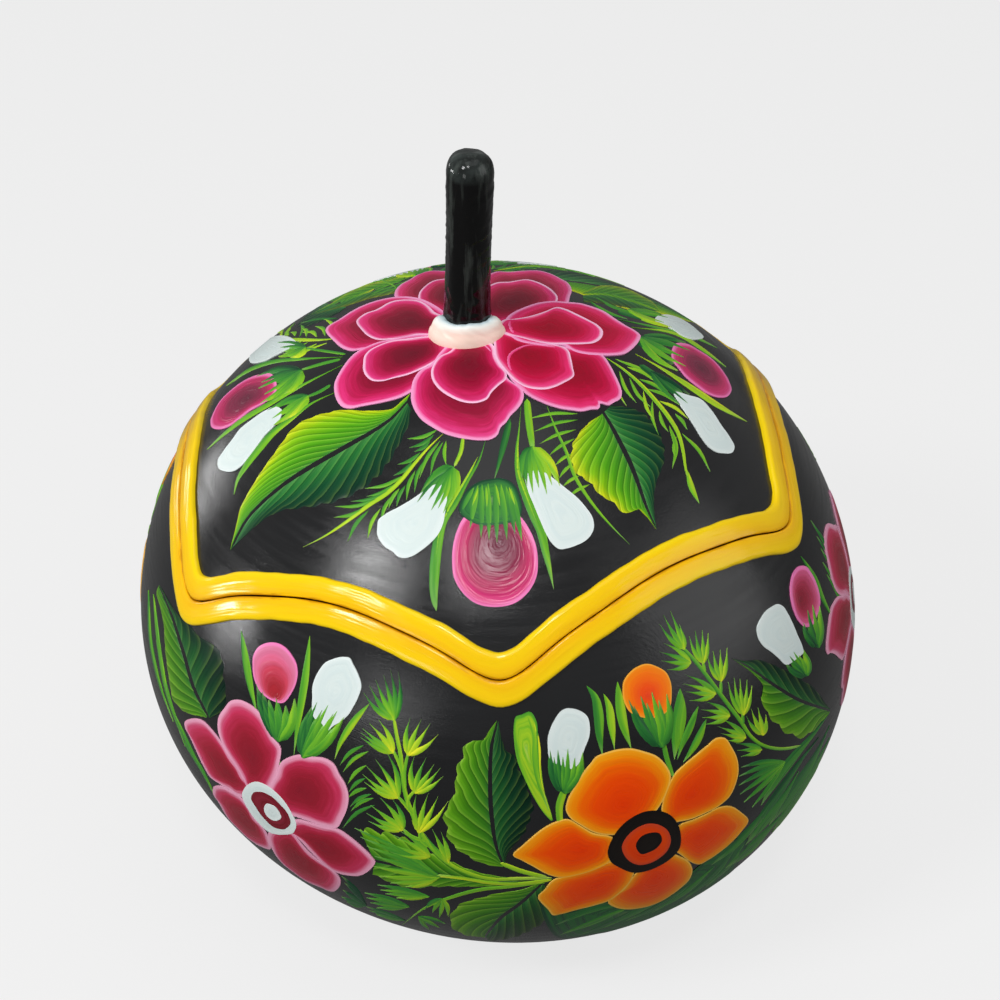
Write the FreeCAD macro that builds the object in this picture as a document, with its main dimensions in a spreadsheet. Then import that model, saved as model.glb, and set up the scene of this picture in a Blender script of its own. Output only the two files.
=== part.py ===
import FreeCAD
import Part
import Sketcher
import math
import os

# A lacquered gourd box. A dried round gourd is sawn in two along a scalloped line of six
# points, the upper piece lifts off as the lid, and its stem is the handle. The saw follows
# straight lines that meet inside the gourd, so the cut is a cone all the way round, and the
# lid centres itself in the bowl and fits in one turn only. Both cut edges carry a raised
# yellow border, and a ring of filler closes the joint between stem and lid.
# Millimetres. The foot stands on z = 0, +Z is up, and -Y is the front.
# The gourd grew lopsided: its own axis leans to +X, while the scalloped line leans to -X.
# Both turn about one point, the middle of the gourd, which lies MIDDLE_HEIGHT above the foot.

doc = FreeCAD.newDocument("gourd_box")
sheet = doc.addObject("Spreadsheet::Sheet", "sizes")

# The driving dimensions: alias, value, meaning.
SIZES = [
    ("gourd_radius", 78.0, "half the gourd's width at its equator"),
    ("crown_height", 74.6, "equator to the crown's end of the gourd's own axis"),
    ("belly_depth", 62.4, "equator to the belly's end of the gourd's own axis"),
    ("crown_fullness_share", 0.54, "how square the crown's shoulder is"),
    ("belly_fullness_share", 0.605, "how square the belly is"),
    ("gourd_lean_angle", 11.8, "lean of the gourd's own axis towards +X"),
    ("shell_wall", 5.0, "thickness of the dried rind"),
    ("foot_sanding", 2.0, "depth sanded off so that the gourd stands"),
    ("scar_radius", 5.0, "blossom scar in the middle of the foot"),
    ("scar_depth", 1.0, "depth of the blossom scar"),
    ("scar_offset", 9.0, "how far the scar lies beside the middle"),
    ("point_angle", 28.0, "elevation of the scallops' points, seen from the middle"),
    ("arch_angle", 9.0, "how far the arches rise between the points"),
    ("seam_lean_angle", 3.4, "lean of the scalloped line towards -X"),
    ("seam_gap", 0.4, "how far the lid's cut lies above the bowl's"),
    ("border_width", 4.7, "width of each yellow border"),
    ("border_relief", 0.9, "how far the borders stand proud of the rind"),
    ("stem_radius", 5.3, "stem where it leaves the collar"),
    ("stem_waist_radius", 4.7, "pull of the stem's drawn-in sides"),
    ("stem_tip_radius", 4.95, "stem just under its rounded end"),
    ("stem_height", 38.0, "stem above the crown"),
    ("stem_offset", 6.1, "how far the stem stands beside the middle, towards -X"),
    ("stem_forward", 4.9, "how far the stem stands before the middle, towards -Y"),
    ("stem_lean_angle", 1.3, "lean of the stem towards +X"),
    ("seat_sink", 1.2, "how far the stem and its ring reach into the rind before they are trimmed to it"),
    ("peg_radius", 3.6, "tenon of the stem in the lid"),
    ("peg_reach", 1.5, "how far the tenon comes through the rind"),
    ("peg_glue_gap", 0.1, "glue line round the tenon"),
    ("collar_radius", 8.0, "ring of filler round the stem"),
    ("collar_height", 3.6, "height of the ring above the crown"),
    ("collar_round", 2.5, "round of the ring's upper edge"),
    ("overrun", 8.0, "how far cutting shapes run past what they cut"),
]
for row, (alias, value, meaning) in enumerate(SIZES, start=1):
    sheet.set(f"A{row}", meaning)
    sheet.set(f"B{row}", str(value))
    sheet.setAlias(f"B{row}", alias)
doc.recompute()

# The six points of the scalloped cut: azimuth in degrees from the front, towards +X, and
# how far the hand-held saw strayed up or down from point_angle.
SCALLOP_POINT_ANGLES = [(2.2, 0.2), (65.5, 2.4), (124.5, 0.6), (184.0, -0.4), (-118.0, 0.0), (-57.3, -1.1)]
# How far the arch after each point rises, as a share of arch_angle.
ARCH_RISE_SHARES = [0.91, 1.03, 1, 1, 1, 1]
SPANS_PER_ARCH = 7
FULL_TURN = 360
# The middle above the foot: how deep a leaning oval reaches, less what the sanding takes.
MIDDLE_HEIGHT = (
    "(sqrt((sizes.belly_depth * cos(sizes.gourd_lean_angle)) ^ 2"
    " + (sizes.gourd_radius * sin(sizes.gourd_lean_angle)) ^ 2) - sizes.foot_sanding)"
)
# The low end of each cutting cone, as a share of its height above the apex.
CONE_START_SHARE = 0.1
# Where along the shank the two pulls of its drawn-in sides lie, as shares of its height.
WAIST_SHARES = (0.3, 0.7)


def size(alias):
    """A driving dimension's value."""
    return float(sheet.get(alias))


def middle_height():
    """The value of MIDDLE_HEIGHT."""
    return float(sheet.evalExpression(MIDDLE_HEIGHT))


def vector(x, y, z=0):
    return FreeCAD.Vector(x, y, z)


def origin_plane(body, role):
    """One of a body's own origin planes."""
    return next(feature for feature in body.Origin.OriginFeatures if feature.Role == role)


def upright_sketch(body, name):
    """A sketch on the body's XZ plane, whose vertical axis is the body's Z."""
    sketch = body.newObject("Sketcher::SketchObject", name)
    sketch.AttachmentSupport = (origin_plane(body, "XZ_Plane"), [""])
    sketch.MapMode = "FlatFace"
    return sketch


def tie_point(sketch, geometry, end, name, place, expressions):
    """Holds a sketch point at a pair of expressions; place is where it lies to begin with."""
    for kind, axis, start, expression in zip(("DistanceX", "DistanceY"), ("across", "up"), place, expressions):
        constraint = sketch.addConstraint(Sketcher.Constraint(kind, -1, 1, geometry, end, start))
        sketch.renameConstraint(constraint, f"{name}_{axis}")
        sketch.setExpression(f"Constraints.{name}_{axis}", expression)


def spline_between(sketch, name, poles, expressions):
    """A cubic curve in a sketch, each of its four poles tied to a pair of expressions."""
    points = [vector(across, up) for across, up in poles]
    curve = sketch.addGeometry(Part.BSplineCurve(points, None, None, False, 3, None, False), False)
    sketch.exposeInternalGeometry(curve)
    for index, (place, pair) in enumerate(zip(poles, expressions)):
        tie_point(sketch, curve + 1 + index, 3, f"{name}_pole{index}", place, pair)
    return curve


def revolve(body, sketch, name):
    """Turns a sketch once round the body's Z axis."""
    turned = body.newObject("PartDesign::Revolution", name)
    turned.Profile = sketch
    turned.ReferenceAxis = (sketch, ["V_Axis"])
    turned.Angle = FULL_TURN
    return turned


def gourd_oval(name, skin):
    """The gourd's rounded form, grown by the expression skin beyond the rind's outer face."""
    body = doc.addObject("PartDesign::Body", name)
    sketch = upright_sketch(body, f"{name}_profile")
    radius = f"(sizes.gourd_radius + {skin})"
    ends = {}
    for part_name, height, share, sign in (
        ("crown", "sizes.crown_height", "sizes.crown_fullness_share", ""),
        ("belly", "sizes.belly_depth", "sizes.belly_fullness_share", "-"),
    ):
        top = f"({height} + {skin})"
        wide = size("gourd_radius")
        tall = size(height.split(".")[1]) * (-1 if sign else 1)
        full = size(share.split(".")[1])
        poles = [(wide, 0), (wide, full * tall), (full * wide, tall), (0, tall)]
        expressions = [
            (radius, "0"),
            (radius, f"{sign}{share} * {top}"),
            (f"{share} * {radius}", f"{sign}{top}"),
            ("0", f"{sign}{top}"),
        ]
        ends[part_name] = spline_between(sketch, part_name, poles, expressions)
    axis_line = sketch.addGeometry(
        Part.LineSegment(vector(0, size("crown_height")), vector(0, -size("belly_depth"))), False
    )
    sketch.addConstraint(Sketcher.Constraint("Coincident", axis_line, 1, ends["crown"], 2))
    sketch.addConstraint(Sketcher.Constraint("Coincident", axis_line, 2, ends["belly"], 2))
    revolve(body, sketch, f"{name}_turned")
    body.Placement.Rotation = FreeCAD.Rotation(vector(0, 1), size("gourd_lean_angle"))
    body.setExpression("Placement.Base.z", MIDDLE_HEIGHT)
    return body


def boolean(kind, name, base, tool):
    """A named Part boolean of two objects."""
    made = doc.addObject(f"Part::{kind}", name)
    made.Base = base
    made.Tool = tool
    return made


def seam_points(shift):
    """The scalloped line as [arches][points] of (azimuth, elevation) in radians.

    Between two points of the scallop the line rises as half a sine wave. shift moves it
    square to itself along the rind, in millimetres, towards the crown where it is positive.
    """
    sweep = shift / size("gourd_radius")
    arches = []
    count = len(SCALLOP_POINT_ANGLES)
    for index, (azimuth, stray) in enumerate(SCALLOP_POINT_ANGLES):
        next_azimuth, next_stray = SCALLOP_POINT_ANGLES[(index + 1) % count]
        start = math.radians(azimuth)
        width = math.radians((next_azimuth - azimuth) % FULL_TURN)
        rise = math.radians(size("arch_angle") * ARCH_RISE_SHARES[index])
        low = math.radians(size("point_angle") + stray)
        next_low = math.radians(size("point_angle") + next_stray)
        arch = []
        for step in range(SPANS_PER_ARCH + 1):
            along = step / SPANS_PER_ARCH
            angle = start + along * width
            elevation = low + along * (next_low - low) + rise * math.sin(math.pi * along)
            # The line's slope on the rind, and from it the way square to the line.
            slope = ((next_low - low) + rise * math.pi * math.cos(math.pi * along)) / width
            slope /= math.cos(elevation)
            square = math.hypot(1, slope)
            if step in (0, SPANS_PER_ARCH):
                # At a point both arches' shifted lines meet straight above it, a mitre.
                elevation += sweep * square
            else:
                angle -= sweep * slope / square / math.cos(elevation)
                elevation += sweep / square
            arch.append((angle, elevation))
        arches.append(arch)
    return arches


def seam_wire(name, height, shift):
    """The flat closed wire in which a horizontal plane, height above the apex, cuts a seam cone."""
    # Each arch's last point is the next arch's first, and is left out.
    points = [
        vector(
            height / math.tan(elevation) * math.sin(angle),
            -height / math.tan(elevation) * math.cos(angle),
            height,
        )
        for arch in seam_points(shift)
        for angle, elevation in arch[:-1]
    ]
    closed = Part.BSplineCurve()
    closed.interpolate(Points=points, PeriodicFlag=True)
    # The line stays smooth, and is divided at the scallops' points into one edge for each arch.
    joints = closed.getKnots()[::SPANS_PER_ARCH]
    wire = doc.addObject("Part::Feature", name)
    wire.Shape = Part.Wire([closed.toShape(start, end) for start, end in zip(joints, joints[1:])])
    return wire


def seam_cone(name, shift, lift="0"):
    """All that lies above the cone through the scalloped line, shifted and then lifted."""
    top = size("crown_height") + size("overrun")
    low = seam_wire(f"{name}_low", CONE_START_SHARE * top, shift)
    high = seam_wire(f"{name}_high", top, shift)
    cone = doc.addObject("Part::Loft", name)
    cone.Sections = [low, high]
    cone.Solid = True
    cone.Ruled = True
    cone.Placement.Rotation = FreeCAD.Rotation(vector(0, -1), size("seam_lean_angle"))
    cone.setExpression("Placement.Base.z", f"{MIDDLE_HEIGHT} + {lift}")
    return cone


def gourd_rind():
    """The whole hollow gourd, sanded flat underneath, with the blossom scar in its foot."""
    outside = gourd_oval("gourd_outside", "0")
    inside = gourd_oval("gourd_hollow", "-sizes.shell_wall")
    hollowed = boolean("Cut", "hollowed_gourd", outside, inside)
    bench = doc.addObject("Part::Cylinder", "sanding_bench")
    bench.setExpression("Radius", "sizes.gourd_radius")
    bench.setExpression("Height", "sizes.foot_sanding + sizes.overrun")
    bench.setExpression("Placement.Base.z", "-(sizes.foot_sanding + sizes.overrun)")
    sanded = boolean("Cut", "sanded_gourd", hollowed, bench)
    scar = doc.addObject("Part::Sphere", "blossom_scar")
    # A ball that cuts a dimple of scar_radius and scar_depth into the foot.
    ball = "(sizes.scar_radius * sizes.scar_radius + sizes.scar_depth * sizes.scar_depth) / (2 * sizes.scar_depth)"
    scar.setExpression("Radius", ball)
    scar.setExpression("Placement.Base.x", "sizes.scar_offset")
    scar.setExpression("Placement.Base.z", f"sizes.scar_depth - {ball}")
    return outside, boolean("Cut", "scarred_gourd", sanded, scar)


def border_layer(outside):
    """The thin layer on the rind out of which both borders are cut."""
    proud = gourd_oval("border_outside", "sizes.border_relief")
    return boolean("Cut", "border_layer", proud, outside)


def stem_placement():
    """The seat of the stem on the crown, where it stands and how it leans."""
    seat = vector(-size("stem_offset"), -size("stem_forward"), middle_height() + size("crown_height"))
    return FreeCAD.Placement(seat, FreeCAD.Rotation(vector(0, 1), size("stem_lean_angle")))


def stem_blank():
    """The stem with its tenon, as one turned piece whose shoulder runs into the rind."""
    body = doc.addObject("PartDesign::Body", "stem_blank")
    sketch = upright_sketch(body, "stem_profile")
    reach = -(size("shell_wall") + size("peg_reach"))
    sink = -size("seat_sink")
    tip = size("stem_tip_radius")
    shank = size("stem_height") - tip
    # The tenon's three straight sides, from its end on the axis out to the shank's foot.
    places = [(0, reach), (size("peg_radius"), reach), (size("peg_radius"), sink), (size("stem_radius"), sink)]
    tenon_end = "-(sizes.shell_wall + sizes.peg_reach)"
    expressions = [
        ("0", tenon_end),
        ("sizes.peg_radius", tenon_end),
        ("sizes.peg_radius", "-sizes.seat_sink"),
        ("sizes.stem_radius", "-sizes.seat_sink"),
    ]
    lines = []
    for start, end in zip(places, places[1:]):
        lines.append(sketch.addGeometry(Part.LineSegment(vector(*start), vector(*end)), False))
    for before, after in zip(lines, lines[1:]):
        sketch.addConstraint(Sketcher.Constraint("Coincident", before, 2, after, 1))
    for index, (place, pair) in enumerate(zip(places[:-1], expressions)):
        tie_point(sketch, lines[index], 1, f"tenon{index}", place, pair)

    shank_top = "sizes.stem_height - sizes.stem_tip_radius"
    waists = [(size("stem_waist_radius"), share * shank) for share in WAIST_SHARES]
    waist_expressions = [("sizes.stem_waist_radius", f"{share} * ({shank_top})") for share in WAIST_SHARES]
    side_expressions = [expressions[-1], *waist_expressions, ("sizes.stem_tip_radius", shank_top)]
    side = spline_between(sketch, "side", [places[-1], *waists, (tip, shank)], side_expressions)
    sketch.addConstraint(Sketcher.Constraint("Coincident", lines[-1], 2, side, 1))

    circle = Part.Circle(vector(0, shank), vector(0, 0, 1), tip)
    dome = sketch.addGeometry(Part.ArcOfCircle(circle, 0, math.pi / 2), False)
    axis_line = sketch.addGeometry(Part.LineSegment(vector(0, shank + tip), vector(0, reach)), False)
    sketch.addConstraint(Sketcher.Constraint("Coincident", side, 2, dome, 1))
    sketch.addConstraint(Sketcher.Constraint("Coincident", dome, 2, axis_line, 1))
    sketch.addConstraint(Sketcher.Constraint("Coincident", axis_line, 2, lines[0], 1))
    tie_point(sketch, dome, 3, "dome_centre", (0, shank), ("0", shank_top))
    sketch.addConstraint(Sketcher.Constraint("PointOnObject", dome, 2, -2))
    revolve(body, sketch, "stem_turned")
    body.Placement = stem_placement()
    return body


def collar_blank():
    """The ring of filler as a round-edged disc, before the stem and the lid take their room."""
    body = doc.addObject("PartDesign::Body", "collar_blank")
    disc = body.newObject("PartDesign::AdditiveCylinder", "collar_disc")
    disc.setExpression("Radius", "sizes.collar_radius")
    disc.setExpression("Height", "sizes.collar_height + sizes.seat_sink")
    disc.setExpression("Placement.Base.z", "-sizes.seat_sink")
    doc.recompute()
    top_edge = max(range(len(disc.Shape.Edges)), key=lambda index: disc.Shape.Edges[index].CenterOfMass.z)
    rounding = body.newObject("PartDesign::Fillet", "collar_rounding")
    rounding.Base = (disc, [f"Edge{top_edge + 1}"])
    rounding.setExpression("Radius", "sizes.collar_round")
    body.Placement = stem_placement()
    return body


def tenon_hole():
    """The hole that is drilled through the lid for the stem's tenon."""
    hole = doc.addObject("Part::Cylinder", "tenon_hole")
    hole.setExpression("Radius", "sizes.peg_radius + sizes.peg_glue_gap")
    hole.setExpression("Height", "2 * (sizes.shell_wall + sizes.overrun)")
    placement = stem_placement()
    sink = vector(0, 0, -(size("shell_wall") + size("overrun")))
    hole.Placement = placement.multiply(FreeCAD.Placement(sink, FreeCAD.Rotation()))
    return hole


def build():
    """Every sub-part as {name: document object}."""
    outside, rind = gourd_rind()
    layer = border_layer(outside)
    bowl_cone = seam_cone("bowl_cone", 0)
    lid_cone = seam_cone("lid_cone", 0, lift="sizes.seam_gap")
    bowl_border_cone = seam_cone("bowl_border_cone", -size("border_width"))
    lid_border_cone = seam_cone("lid_border_cone", size("border_width"), lift="sizes.seam_gap")

    bowl_shell = boolean("Cut", "bowl_shell", rind, bowl_cone)
    lid_cap = boolean("Common", "lid_cap", rind, lid_cone)
    lid_shell = boolean("Cut", "lid_shell", lid_cap, tenon_hole())

    bowl_band = boolean("Cut", "bowl_band", bowl_border_cone, bowl_cone)
    bowl_border = boolean("Common", "bowl_border", layer, bowl_band)
    lid_band = boolean("Cut", "lid_band", lid_cone, lid_border_cone)
    lid_border = boolean("Common", "lid_border", layer, lid_band)

    stem = boolean("Cut", "stem", stem_blank(), lid_shell)
    seated_collar = boolean("Cut", "seated_collar", collar_blank(), lid_shell)
    stem_collar = boolean("Cut", "stem_collar", seated_collar, stem)
    return {
        "bowl_shell": bowl_shell,
        "bowl_border": bowl_border,
        "lid_shell": lid_shell,
        "lid_border": lid_border,
        "stem": stem,
        "stem_collar": stem_collar,
    }


parts = build()
doc.recompute()
for item in doc.Objects:
    if "Invalid" in item.State or "Error" in item.State:
        raise RuntimeError(f"{item.Name} failed: {item.State}")
for name, item in parts.items():
    item.Label = name
    if item.Shape.isNull() or not item.Shape.isValid() or not item.Shape.Solids:
        raise RuntimeError(f"{name} has no valid solid")

os.makedirs("parts", exist_ok=True)
for name, item in parts.items():
    item.Shape.exportStep(os.path.join("parts", f"{name}.step"))
    box = item.Shape.BoundBox
    print(
        f"{name}: {len(item.Shape.Solids)} solid, {len(item.Shape.Faces)} faces,"
        f" volume {item.Shape.Volume:.0f}, z {box.ZMin:.2f} to {box.ZMax:.2f}"
    )
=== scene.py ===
"""Looks of a lacquered gourd box.

The gourd, its two raised borders, the stem, the collar and every painted stroke are surfaces worked
out from the same sizes as the solid model. The strokes are thin skins of paint laid on the gourd.
Where a stroke shows in the photograph, its outline is given in the photograph's pixels, and is cast
from the photograph's viewpoint onto the gourd. Strokes on the far side are turned copies of those.
Metres. The foot stands on z = 0, +Z is up, and -Y is the front.
"""

import logging
import math
from dataclasses import dataclass
from enum import Enum
from typing import ClassVar

import bpy
import numpy as np
from mathutils import Euler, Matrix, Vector
from numpy.typing import NDArray


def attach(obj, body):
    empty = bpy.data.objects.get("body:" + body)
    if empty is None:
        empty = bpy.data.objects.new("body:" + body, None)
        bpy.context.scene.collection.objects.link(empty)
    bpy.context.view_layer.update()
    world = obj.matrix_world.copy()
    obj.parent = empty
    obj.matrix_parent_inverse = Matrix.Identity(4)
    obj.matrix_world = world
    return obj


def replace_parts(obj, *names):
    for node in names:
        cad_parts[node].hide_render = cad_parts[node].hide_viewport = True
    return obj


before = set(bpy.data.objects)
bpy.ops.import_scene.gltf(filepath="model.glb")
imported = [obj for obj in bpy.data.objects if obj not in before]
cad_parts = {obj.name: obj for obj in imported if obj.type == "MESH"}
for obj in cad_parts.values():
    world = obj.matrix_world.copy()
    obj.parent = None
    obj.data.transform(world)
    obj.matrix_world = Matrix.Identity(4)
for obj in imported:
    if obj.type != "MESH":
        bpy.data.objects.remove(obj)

Array = NDArray[np.float64]
Colour = tuple[float, float, float]
Pair = tuple[float, float]
Stops = tuple[tuple[float, Colour], ...]
Socket = bpy.types.NodeSocket
Node = bpy.types.Node
Piece = bpy.types.Object

LOG = logging.getLogger("gourd_box")
MM = 0.001


def srgb(red: float, green: float, blue: float) -> Colour:
    """A colour as it looks on a screen, from 0 to 255, turned into linear light.

    Args:
        red: how red it is.
        green: how green it is.
        blue: how blue it is.

    Returns:
        The three linear values, from 0 to 1.
    """
    shares = np.array([red, green, blue]) / 255
    light = np.where(shares <= 0.04045, shares / 12.92, ((shares + 0.055) / 1.055) ** 2.4)
    return tuple(float(value) for value in light)


def stops(*rows: tuple[float, float, float, float]) -> Stops:
    """Places along a run of colours, each row being a place, then red, green and blue from 0 to 255."""
    return tuple((place, srgb(*colour)) for place, *colour in rows)


def trace(*numbers: float) -> Array:
    """A line in the photograph, as pairs of pixels written one after the other."""
    return np.array(numbers, float).reshape(-1, 2)


def unit(vectors: Array) -> Array:
    """The vectors at length 1."""
    return vectors / np.linalg.norm(vectors, axis=-1, keepdims=True)


def turned(ways: Array, axis: Array, degrees: float) -> Array:
    """Directions turned about an axis, by Rodrigues' formula.

    Args:
        ways: directions, the last index being x, y, z.
        axis: the unit axis.
        degrees: the turn, seen anticlockwise from the axis's head.

    Returns:
        w cos a + (k x w) sin a + k (k . w) (1 - cos a), for each direction w and the axis k.
    """
    angle = math.radians(degrees)
    along = (ways @ axis)[..., None] * axis
    return ways * math.cos(angle) + np.cross(axis, ways) * math.sin(angle) + along * (1 - math.cos(angle))


def reached(points: Array) -> Array:
    """How far along a line each of its points lies."""
    return np.concatenate([[0], np.cumsum(np.linalg.norm(np.diff(points, axis=0), axis=-1))])


def cubic(start: Array, lean_in: Array, end: Array, lean_out: Array, share: Array) -> Array:
    """Points on cubic curves, each between two places.

    Args:
        start: the places where the curves start.
        lean_in: their slopes there.
        end: the places where they end.
        lean_out: their slopes there.
        share: how far along them the points lie.

    Returns:
        a (2 s^3 - 3 s^2 + 1) + m (s^3 - 2 s^2 + s) + b (3 s^2 - 2 s^3) + n (s^3 - s^2), with the places
        a and b, their slopes m and n, and the share s.
    """
    return (
        start * (2 * share**3 - 3 * share**2 + 1)
        + lean_in * (share**3 - 2 * share**2 + share)
        + end * (3 * share**2 - 2 * share**3)
        + lean_out * (share**3 - share**2)
    )


def smooth_line(corners: Array, count: int, closed: bool = False) -> Array:
    """A smooth line through the corners, as points at even distances.

    Each stretch is a cubic with the slopes of a curve through three neighbouring corners, and a
    corner that is given twice stays sharp.

    Args:
        corners: the points that the line passes through.
        count: how many points to give back.
        closed: whether the line returns to its first corner.

    Returns:
        An array of count points.
    """
    knots = np.vstack([corners, corners[:1]]) if closed else corners
    chords = np.maximum(np.linalg.norm(np.diff(knots, axis=0), axis=1), 1e-6)[:, None]
    slopes = np.diff(knots, axis=0) / chords
    if closed:
        before, after = np.roll(slopes, 1, axis=0), slopes
        width_before, width_after = np.roll(chords, 1, axis=0), chords
        middle = (before * width_after + after * width_before) / (width_before + width_after)
        tangents = np.vstack([middle, middle[:1]])
    else:
        middle = (slopes[:-1] * chords[1:] + slopes[1:] * chords[:-1]) / (chords[1:] + chords[:-1])
        tangents = np.vstack([slopes[:1], middle, slopes[-1:]])
    share = np.linspace(0, 1, 24, endpoint=False)[None, :, None]
    start, end, run = knots[:-1, None], knots[1:, None], chords[:, None]
    lean_in, lean_out = tangents[:-1, None] * run, tangents[1:, None] * run
    curve = cubic(start, lean_in, end, lean_out, share).reshape(-1, knots.shape[1])
    curve = np.vstack([curve, knots[-1:]])
    reach = reached(curve)
    places = np.linspace(0, reach[-1], count, endpoint=not closed)
    return np.stack([np.interp(places, reach, curve[:, axis]) for axis in range(curve.shape[1])], axis=-1)


@dataclass(frozen=True)
class GourdForm:
    """The gourd's grown form, as a distance from its middle in every direction.

    Attributes:
        radius: half the gourd's width.
        crown: middle to the crown's end of the gourd's own axis.
        belly: middle to the belly's end of the gourd's own axis.
        crown_fullness: how square the crown's shoulder is, as a share.
        belly_fullness: how square the belly is, as a share.
        lean: lean of the gourd's own axis towards +X, in degrees.
        sanding: depth sanded off the foot.
        wall: thickness of the dried rind.
        scar_radius: blossom scar in the foot.
        scar_depth: depth of the blossom scar.
        scar_offset: how far the scar lies beside the middle.
        ground_depth: how far the bare lacquer lies inside the rind's size, to leave room for paint.
    """

    radius: float = 78 * MM
    crown: float = 74.6 * MM
    belly: float = 62.4 * MM
    crown_fullness: float = 0.54
    belly_fullness: float = 0.605
    lean: float = 11.8
    sanding: float = 2 * MM
    wall: float = 5 * MM
    scar_radius: float = 5 * MM
    scar_depth: float = 1 * MM
    scar_offset: float = 9 * MM
    ground_depth: float = 0.32 * MM

    @property
    def middle(self) -> Array:
        """The point that all directions start from, above the foot.

        Returns:
            The point.
        """
        lean = math.radians(self.lean)
        depth = math.hypot(self.belly * math.cos(lean), self.radius * math.sin(lean))
        return np.array([0, 0, depth - self.sanding])

    def quarter(self, end: float, fullness: float, skin: float) -> tuple[Array, Array]:
        """One quarter of the gourd's outline, from its equator to an end of its axis.

        It is the cubic curve with the poles (r, 0), (r, f h), (f r, h) and (0, h).

        Args:
            end: the signed height h of the axis's end.
            fullness: the share f.
            skin: what is added to both r and h.

        Returns:
            Elevations in radians, and the distances from the middle.
        """
        wide = self.radius + skin
        tall = end + skin * math.copysign(1, end)
        share = np.linspace(0, 1, 300)
        rest = 1 - share
        across = wide * (rest**3 + 3 * rest**2 * share + 3 * rest * share**2 * fullness)
        up = tall * (3 * rest**2 * share * fullness + 3 * rest * share**2 + share**3)
        return np.arctan2(up, across), np.hypot(up, across)

    def reach(self, ways: Array, skin: float = 0.0) -> Array:
        """How far the grown form reaches from its middle.

        Args:
            ways: unit directions.
            skin: how much the form is grown on all sides.

        Returns:
            The distances.
        """
        lean = math.radians(self.lean)
        across = math.cos(lean) * ways[..., 0] - math.sin(lean) * ways[..., 2]
        up = math.sin(lean) * ways[..., 0] + math.cos(lean) * ways[..., 2]
        high, high_reach = self.quarter(self.crown, self.crown_fullness, skin)
        low, low_reach = self.quarter(-self.belly, self.belly_fullness, skin)
        elevations = np.concatenate([low[::-1], high[1:]])
        reaches = np.concatenate([low_reach[::-1], high_reach[1:]])
        return np.interp(np.arctan2(up, np.hypot(across, ways[..., 1])), elevations, reaches)

    def surface(self, ways: Array, lift: Array | float = 0.0, apex: float = 0.0) -> Array:
        """Points on the sanded gourd, seen from a point above its middle.

        Args:
            ways: unit directions from that point.
            lift: how far the points lie outside the bare lacquer.
            apex: how far that point lies above the middle.

        Returns:
            The points, with the flat foot and its scar.
        """
        above = np.array([0, 0, apex])
        run = self.reach(ways)
        for _ in range(3 if apex else 1):
            spot = above + ways * run[..., None]
            far = np.linalg.norm(spot, axis=-1)
            run = run + self.reach(spot / far[..., None]) + lift - self.ground_depth - far
        place = self.middle + above + ways * run[..., None]
        low = place[..., 2] < 0
        height = self.middle[2] + apex
        fall = np.where(low, height / np.minimum(ways[..., 2], -1e-6) * -1, 0)
        flat = self.middle + above + ways * fall[..., None]
        place = np.where(low[..., None], flat, place)
        ball = (self.scar_radius**2 + self.scar_depth**2) / (2 * self.scar_depth)
        off = np.hypot(place[..., 0] - self.scar_offset, place[..., 1])
        dimple = np.sqrt(np.maximum(ball**2 - off**2, 0)) - ball + self.scar_depth
        place[..., 2] = np.where(low, np.maximum(dimple, 0), place[..., 2])
        return place

    def hollow(self, ways: Array, apex: float = 0.0) -> Array:
        """Points on the rind's inner face.

        Args:
            ways: unit directions.
            apex: how far the point that they start from lies above the middle.

        Returns:
            The points.
        """
        return self.middle + np.array([0, 0, apex]) + ways * self.reach(ways, -self.wall)[..., None]


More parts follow.
